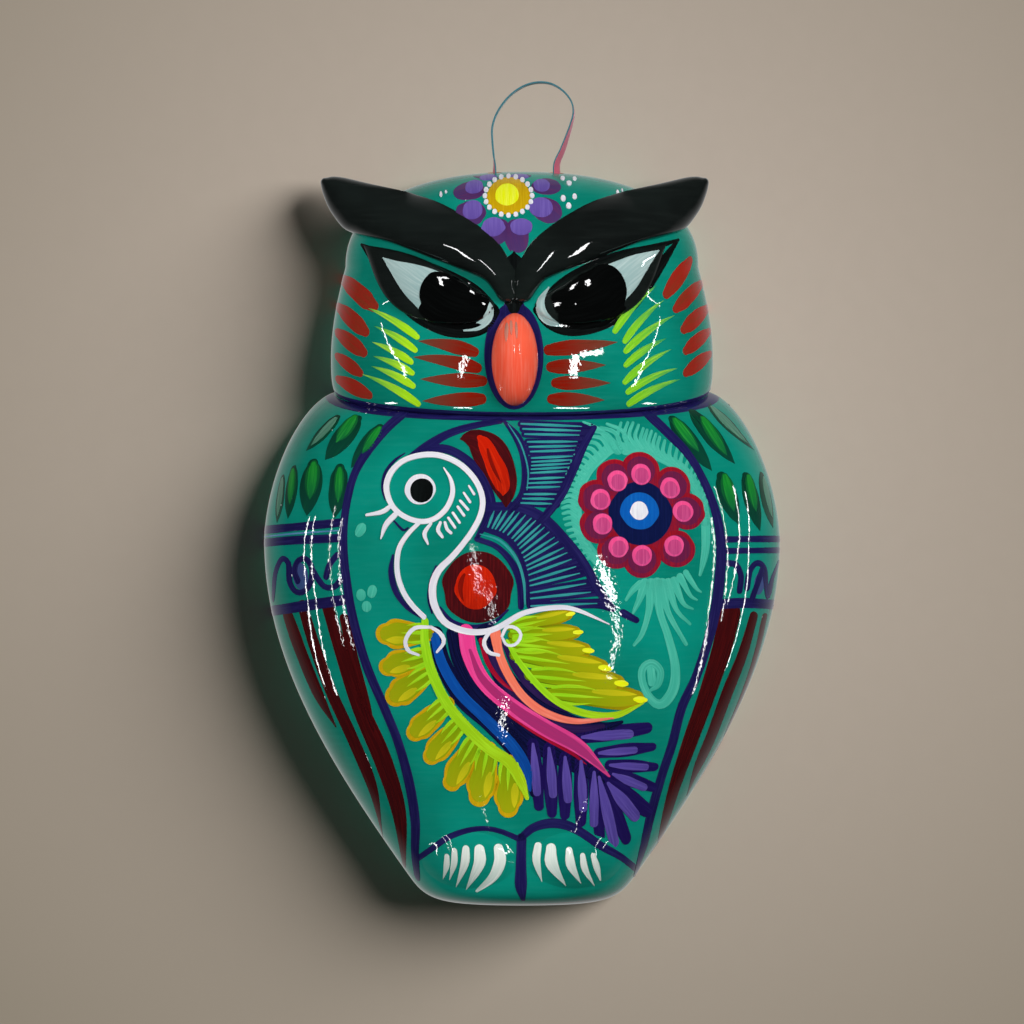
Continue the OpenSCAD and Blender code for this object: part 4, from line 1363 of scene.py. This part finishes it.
def paint_tail():
    ground = [[(436, 633, 14), (443, 663, 16), (462, 697, 18), (491, 722, 20), (517, 748, 22),
               (530, 772, 18), (533, 794, 6)],
              [(455, 634, 18), (461, 660, 18), (478, 690, 20), (505, 714, 24), (530, 736, 24),
               (556, 752, 22), (590, 772, 14), (603, 782, 4)],
              [(487, 634, 22), (496, 662, 20), (512, 689, 22), (540, 712, 24), (572, 726, 22),
               (602, 728, 12), (622, 722, 3)]]
    brush("tail_ground", "ink", ground, "body", 2)
    blue = [(435, 637, 9), (442, 663, 10), (459, 692, 11), (485, 718, 11), (511, 744, 12), (526, 768, 11),
            (530, 790, 3)]
    brush("tail_blue", "blue", [blue], "body", 4)
    pink = [(466, 632, 16), (470, 655, 16), (484, 682, 15), (510, 705, 16), (542, 726, 17),
            (579, 747, 14), (609, 776, 2)]
    brush("tail_pink", "pink", [pink], "body", 5)
    magenta = [(470, 650, 3), (482, 678, 7), (509, 704, 9), (541, 726, 11), (577, 747, 9), (604, 770, 2)]
    brush("tail_magenta", "magenta", [magenta], "body", 6)
    crimson = [[(481, 640, 5), (488, 663, 5), (502, 682, 4), (520, 695, 1)],
               [(505, 713, 2), (536, 733, 4), (570, 752, 4), (586, 764, 1)]]
    brush("tail_crimson", "crimson", crimson, "body", 4)
    plum = [[(505, 644, 6), (516, 668, 8), (533, 689, 8), (555, 704, 8), (584, 715, 4)],
            [(492, 655, 8), (500, 675, 9), (515, 696, 8), (533, 712, 4)],
            [(520, 706, 4), (546, 722, 8), (574, 729, 8), (603, 726, 4)]]
    brush("tail_plum", "plum", plum, "body", 3)
    coral = [(495, 632, 11), (499, 653, 9), (508, 674, 9), (523, 696, 8.5), (546, 713, 8), (576, 721, 6),
             (613, 718, 1.5)]
    brush("tail_coral", "coral_line", [coral], "body", 7)
    quills = [((533, 744), (537, 792), 9, (539, 806)), ((549, 748), (553, 794), 9, (552, 813)),
              ((565, 757), (568, 799), 9, (565, 815)), ((581, 761), (583, 808), 9, (581, 822)),
              ((594, 772), (594, 823), 9, (600, 837)), ((599, 777), (614, 842), 11, (626, 838)),
              ((608, 783), (634, 815), 13, (646, 810)), ((613, 774), (643, 787), 9, (652, 787)),
              ((610, 765), (645, 767), 8, (654, 767)), ((599, 753), (634, 750), 8, (652, 747)),
              ((582, 737), (629, 734), 10, (647, 728))]
    outlines = [[(*a, w + 3), (*((np.array(a) + c) / 2), w + 6), (*c, w + 1)] for a, _, w, c in quills]
    brush("tail_quill_outlines", "tail_navy", outlines, "body", 2)
    blades = [[(*a, 3), (*((np.array(a) + b) / 2), w), (*b, w * 0.95)] for a, b, w, _ in quills]
    brush("tail_quills", "violet", blades, "body", 4)


def paint_flower():
    heart = np.array([641.0, 513.0])
    ovals = [(641, 474.5), (617.5, 481), (600.5, 499.5), (602.5, 524), (618.5, 547), (642, 555.5),
             (674, 546), (683, 511.5), (670, 488)]
    petals = [np.array(o) + unit(np.array(o) - heart) * 4 for o in ovals]
    brush("flower_ground", "petal_red", [oval(*heart, 44, 45)], "body", 2)
    brush("flower_petals", "petal_red", [oval(*p, 18.5, 18.5) for p in petals], "body", 3)
    brush("flower_petal_shades", "petal_plum", [oval(*p, 14, 14) for p in petals], "body", 4)
    brush("flower_ovals", "oval_pink", [oval(x, y, 10, 10.5) for x, y in ovals], "body", 6)
    brush("flower_oval_shades", "oval_shade", [oval(x + 0.5, y + 1, 7, 7.6) for x, y in ovals], "body", 7)
    ring, disc, spot = oval(641.5, 513.5, 31, 32), oval(639.8, 511, 19, 18.5), oval(639, 510.7, 9, 9.3)
    brush("flower_ring", "flower_navy", [ring], "body", 5)
    brush("flower_disc", "flower_blue", [disc], "body", 6)
    brush("flower_heart", "white", [spot], "body", 7)


def paint_ferns():
    left_base = [(628, 448), (612, 448), (600, 457), (590, 467), (582, 480), (578, 493), (576, 507),
                 (577, 521), (581, 535), (588, 548), (597, 560)]
    left_tips = [(607, 424), (592, 433), (580, 447), (571, 463), (566, 478), (563, 493), (562, 505),
                 (564, 518), (568, 532), (575, 546), (585, 560)]
    right_base = [(626, 450), (637, 447), (648, 450), (657, 455), (667, 460), (681, 468), (691, 480),
                  (698, 493), (703, 507), (705, 521)]
    right_tips = [(621, 423), (634, 423), (644, 429), (653, 432), (662, 439), (674, 446), (687, 456),
                  (697, 469), (705, 483), (710, 498)]
    fringe = []
    for base, tips, count, bow in ((left_base, left_tips, 25, 0.22), (right_base, right_tips, 20, -0.22)):
        for start, end in between(base, tips, count):
            side = np.array([start[1] - end[1], end[0] - start[0]]) * bow
            fringe.append([(*start, 5), (*((start + end) / 2 + side), 4.4), (*end, 3.2)])
    bands = [line(left_base, 11), line(right_base, 11),
             [(705, 515, 9), (706, 534, 9), (705, 553, 8), (700, 575, 3)]]
    sprays = [
        [(583, 422, 2), (597, 428, 4), (610, 440, 8), (618, 450, 10)],
        [(640, 584, 8), (633, 590, 6), (626, 600, 3)], [(645, 583, 10), (640, 598, 7), (633, 613, 3)],
        [(651, 584, 12), (649, 610, 7), (642, 634, 5), (634, 645, 3)],
        [(657, 584, 13), (660, 612, 8), (668, 636, 8), (675, 665, 9), (674, 687, 10), (666, 701, 10),
         (657, 704, 9), (648, 695, 8), (642, 680, 8), (643, 668, 8), (652, 663, 8), (660, 671, 8),
         (658, 684, 7), (651, 690, 3)],
        [(662, 584, 12), (668, 612, 6), (686, 644, 4)], [(668, 583, 10), (676, 609, 5), (690, 624, 3)],
        [(674, 581, 9), (683, 603, 5), (693, 609, 2)], [(680, 577, 8), (690, 595, 4), (697, 600, 2)],
        [(686, 573, 7), (696, 588, 4), (701, 592, 2)], [(651, 670, 9), (652, 682, 9)],
    ]
    dots = [oval(360.5, 530, 5, 7.5, -30), oval(361, 595, 4.8, 6), oval(372, 591.5, 4.8, 6.5, -15),
            oval(366.5, 606.5, 4.8, 5.5)]
    brush("fern_bands", "aqua", bands, "body", 0)
    brush("fern_sprays", "aqua", fringe + sprays + dots, "body", 1)


def paint_feet():
    def mounds(x, z):
        return sum(oval_height(side * FOOT_OFFSET, FOOT_Z, *FOOT_SHAPE)(x, z) for side in (-1, 1))

    arcs = [[(417, 859, 6), (430, 850, 6), (448, 837.5, 6), (467, 830.5, 6), (485, 828.5, 5.5),
             (501, 831.5, 5.5), (518, 838.5, 6)],
            [(522, 837, 8), (533, 828, 9), (548, 823.5, 10), (564, 824.5, 10), (580, 831.5, 9),
             (600, 845, 8), (621, 857, 7), (635, 868, 7)],
            [(521.5, 838, 10), (521, 868, 11), (521, 886, 12), (523, 899, 5)]]
    brush("foot_outlines", "navy", arcs, "body", 1, mounds)
    claws = [
        [(447, 856, 5), (446.5, 866, 6), (443, 879, 0.5)],
        [(454.5, 850, 5), (454, 863, 6.5), (449.5, 880, 0.5)],
        [(466, 848.5, 7), (464.5, 864, 8), (456, 887, 0.5)],
        [(479.5, 849, 10), (479, 864, 11.5), (466, 890, 0.5)],
        [(498.5, 848, 9), (500, 861, 11.5), (493, 877, 9), (477, 891, 3)],
        [(538, 845.5, 7), (536.5, 861, 8), (542, 882, 0.5)],
        [(551, 848, 10), (552, 864, 12), (566, 886, 0.5)],
        [(569, 850, 7), (571, 865, 9), (581, 883.5, 0.5)],
        [(582.5, 855, 5), (585, 869, 6.5), (594.5, 886, 0.5)],
        [(593, 855, 5), (597, 868, 6.5), (600.5, 880, 1.5)],
    ]
    brush("foot_claws", "claw_white", claws, "body", 1, mounds)


# Stage: the pale wall, soft light from all round and narrow strips that the varnish mirrors

# Half the wall's width and height, and its gap behind the owl's rim
BACKDROP_HALF = 800
BACKDROP_GAP = 0.05
# The centre of a pool of light painted into the wall's colour, and how far from it the painted colour
# starts and ends to darken
PAINTED_LIGHT_POINT = (12, 0, VIEW_Z + 35)
PAINTED_LIGHT_REACH = 60
PAINTED_DIM_REACH = 230


def make_wall():
    mesh = bpy.data.meshes.new("wall")
    corners = [(VIEW_X + x * BACKDROP_HALF, BACKDROP_GAP, VIEW_Z + z * BACKDROP_HALF)
               for x, z in ((-1, -1), (1, -1), (1, 1), (-1, 1))]
    mesh.from_pydata((np.array(corners) * MM).tolist(), [], [(0, 1, 2, 3)])
    material, tree, shader = start_material("pale_plaster_wall", Roughness=0.9)
    # Painted light: the wall's colour is painted lighter around one point and darker away from it, a
    # painted pool of light with dim edges
    reach = add(tree, "ShaderNodeVectorMath", {0: millimetres(tree, [1.0] * 3), 1: PAINTED_LIGHT_POINT},
                operation="DISTANCE")
    share = add(tree, "ShaderNodeMapRange", {0: reach.outputs["Value"], 1: PAINTED_LIGHT_REACH, 2: PAINTED_DIM_REACH})
    mottle = add(tree, "ShaderNodeTexNoise", {"Vector": millimetres(tree, [6.0] * 3), "Scale": 1.0})
    colour = mix(tree, share.outputs[0], linear("#e6d6c6"), linear("#b4a896"))
    soft = add(tree, "ShaderNodeMapRange", {0: mottle.outputs[0], 4: 0.12})
    tree.links.new(mix(tree, soft.outputs[0], colour, linear("#b9ac9b")), shader.inputs["Base Color"])
    # Seen from behind, the wall is left out so that the hollow back shows
    side = add(tree, "ShaderNodeNewGeometry", {})
    clear = add(tree, "ShaderNodeBsdfTransparent", {})
    shown = add(tree, "ShaderNodeMixShader", {0: side.outputs["Backfacing"], 1: shader.outputs[0],
                                              2: clear.outputs[0]})
    tree.links.new(shown.outputs[0], tree.nodes["Material Output"].inputs["Surface"])
    mesh.materials.append(material)
    wall = bpy.data.objects.new("wall", mesh)
    bpy.context.collection.objects.link(wall)
    wall.visible_shadow = False
    wall.visible_diffuse = False
    wall.visible_glossy = False


# How far away in metres the lines of light are, the point they are set out from, and their brightness
LIGHT_DISTANCE = 4.0
LIGHT_AIM = Vector((0, -20, -95)) * MM
LINE_RADIANCE = 30
# The room's brightness: as light, behind the owl in the varnish, and as the camera sees it
ROOM_LIGHT = 0.035
BACK_GLOW = 0.5
SEEN_ROOM = 0.4
# Lines of light that the varnish mirrors, by the pieces that show them: width in metres, and the
# (azimuth, elevation) of their ends and bends from the owl in degrees
LIGHT_LINES = {
    "brow_left": [
        (0.3, (-37, 31), (-26, 28.5), (-24.5, 6)), (0.25, (-6.5, 31), (-1, 23), (3.5, 7)),
    ],
    "brow_right": [
        (0.3, (30.5, 33), (30, 22), (34, -8)), (0.25, (-15, 55), (-8.5, 36), (-5, 12)),
    ],
    "eye_left": [
        (0.2, (-1, 57), (-17.5, 44), (-20.3, 28)), (0.2, (24, 50), (15, 42)),
    ],
    "eye_right": [
        (0.2, (-7, 44), (-2.5, 31)), (0.2, (7, 41), (13.5, 25)),
        (0.2, (71, 26), (90, 23)),
    ],
    "beak": [
        (0.12, (-4, 35), (-4, 18)), (0.12, (26, 34), (25, 18)),
    ],
    "owl_head": [
        (0.06, (-73, 20), (-50, 0)), (0.06, (71, 22), (47, -4)),
        (0.12, (-19, 10), (-21, 1)), (0.22, (18, 11), (17, 1)), (0.18, (20, 11), (30, 12)),
        (0.3, (-66, -26), (-78, -30)), (0.3, (62, -26), (74, -30)),
        (0.3, (-30, -36), (-20, -36)), (0.3, (12, -34), (29, -38)),
    ],
    "owl_body": [
        (0.05, (-82, 10), (-87, -12), (-100, -24)), (0.05, (-77, 10), (-79, -12), (-90, -26)),
        (0.03, (-63, 14), (-66, -19)), (0.035, (-57.5, 10), (-60, -19)),
        (0.035, (63.5, 10), (65, -12), (74, -26)), (0.035, (72, 20), (73, 0), (77, -15)),
        (0.05, (88, 19), (83.5, 0), (79, -12)), (0.05, (100, 16), (93.5, 0), (99, -22)),
        (0.13, (17, -3), (22, -9)), (0.05, (22, -9), (25, -14), (24.5, -19)),
        (0.022, (-10, 0), (-8.4, -6.8)), (0.018, (-6.2, -6.5), (-5.4, -11)),
        (0.05, (-3.5, -20.3), (-5, -23.3)),
        (0.03, (-16.3, -30.3), (-16.5, -30.8)), (0.03, (29.5, -32.3), (30, -32.8)),
    ],
}
# Soft boxes for the paint's colours, left out of the varnish's mirror image: name, what they light,
# azimuth, elevation, energy, and spread in degrees. The wall has a key of its own, further round and
# wider, for the long soft shadow beside the owl
SOFT_BOXES = [
    ("key", "owl", 45, 21, 2.65, 22),
    ("wall_key", "backdrop", 55, 20, 3.33, 40),
    ("fill", "owl", -45, 6, 2.0, 60),
    ("back_fill", "owl", 165, 20, 2.4, 60),
]


def towards(azimuth, elevation):
    """A direction from the owl: azimuth from its front to its right side, in degrees."""
    a, e = math.radians(azimuth), math.radians(elevation)
    return Vector((math.sin(a) * math.cos(e), -math.cos(a) * math.cos(e), math.sin(e)))


def light_panel(name, start, end, width, receivers):
    """A flat light from one direction to another. It shows in the varnish alone."""
    first, last = towards(*start), towards(*end)
    outward, along = (first + last).normalized(), (last - first).normalized()
    lamp = bpy.data.lights.new(name, "AREA")
    lamp.shape = "RECTANGLE"
    lamp.size = width
    lamp.size_y = (last - first).length * LIGHT_DISTANCE
    lamp.energy = LINE_RADIANCE * math.pi * lamp.size * lamp.size_y
    lit = bpy.data.objects.new(name, lamp)
    lit.location = LIGHT_AIM + outward * LIGHT_DISTANCE
    lit.rotation_euler = Matrix((along.cross(outward), along, outward)).transposed().to_euler()
    lit.visible_camera = False
    lit.visible_diffuse = False
    lit.light_linking.receiver_collection = receivers
    bpy.context.collection.objects.link(lit)


def light_room():
    world = bpy.data.worlds.new("soft_room")
    world.use_nodes = True
    tree = world.node_tree
    sky = tree.nodes["Background"]
    sky.inputs["Color"].default_value = linear("#f4f4f2")
    # The varnish mirrors the pale room behind the owl, which shows at its rims
    path = add(tree, "ShaderNodeLightPath", {})
    place = add(tree, "ShaderNodeTexCoord", {})
    way = add(tree, "ShaderNodeSeparateXYZ", {0: place.outputs["Generated"]})
    behind = add(tree, "ShaderNodeMapRange", {0: way.outputs[1], 1: 0.3, 2: 1.0, 4: BACK_GLOW})
    glow = add(tree, "ShaderNodeMath", {0: path.outputs["Is Glossy Ray"], 1: behind.outputs[0],
                                        2: ROOM_LIGHT}, operation="MULTIPLY_ADD")
    # Past the wall the camera sees a room as pale as the wall
    seen = add(tree, "ShaderNodeMath", {0: path.outputs["Is Camera Ray"], 1: SEEN_ROOM,
                                        2: glow.outputs[0]}, operation="MULTIPLY_ADD")
    tree.links.new(seen.outputs[0], sky.inputs["Strength"])
    bpy.context.scene.world = world


def lit_groups():
    """Collections of the pieces that each light reaches."""
    groups = {name: bpy.data.collections.new(name) for name in ("owl", "backdrop", *LIGHT_LINES)}
    groups["backdrop"].objects.link(bpy.data.objects["wall"])
    for piece in bpy.context.collection.objects:
        if piece.type == "MESH" and piece.name != "wall":
            middle = np.mean([corner[2] for corner in piece.bound_box]) / MM
            group = "owl_head" if middle > CROWN - NECK_DROP - 2 else "owl_body"
            if "outline" not in piece.name:
                group = next((key for key in LIGHT_LINES if piece.name.startswith(key)), group)
            groups["owl"].objects.link(piece)
            groups[group].objects.link(piece)
    return groups


def light_stage():
    light_room()
    groups = lit_groups()
    for name, receivers, azimuth, elevation, energy, spread in SOFT_BOXES:
        lamp = bpy.data.lights.new(name, "SUN")
        lamp.energy = energy
        lamp.angle = math.radians(spread)
        sun = bpy.data.objects.new(name, lamp)
        sun.rotation_euler = towards(azimuth, elevation).to_track_quat("Z", "Y").to_euler()
        sun.visible_glossy = False
        sun.light_linking.receiver_collection = groups[receivers]
        bpy.context.collection.objects.link(sun)
    for group, lines in LIGHT_LINES.items():
        for width, *bends in lines:
            for first, last in zip(bends, bends[1:]):
                light_panel(group + "_line", first, last, width, groups[group])


place_camera()
make_ribbon()
head = make_shell("head", "head_shell", head_drops(), np.array([0, 0, CROWN]))
cut_crown_holes(head)
body = make_shell("body", "body_shell", body_drops(), np.array([0, 0, CROWN - OWL_HEIGHT]))
for shell_piece in (head, body):
    shell_piece.data.set_sharp_from_angle(angle=math.radians(50))
for hand, side_name in ((-1, "left"), (1, "right")):
    make_brow(hand, "brow_" + side_name)
    make_eye(hand, "eye_" + side_name)
    make_oval("foot_" + side_name, hand * FOOT_OFFSET, FOOT_Z, *FOOT_SHAPE, body_seat, TEAL,
              "glazed_clay")
make_oval("beak", FACE_SHIFT, BEAK_Z, *BEAK_SHAPE, head_seat, CORAL, "coral_paint")
paint_crown()
paint_face()
paint_neck_and_panel()
paint_wings()
paint_bird()
paint_feathers()
paint_tail()
paint_flower()
paint_ferns()
paint_feet()
make_wall()
light_stage()
bpy.context.scene.view_settings.view_transform = "Standard"
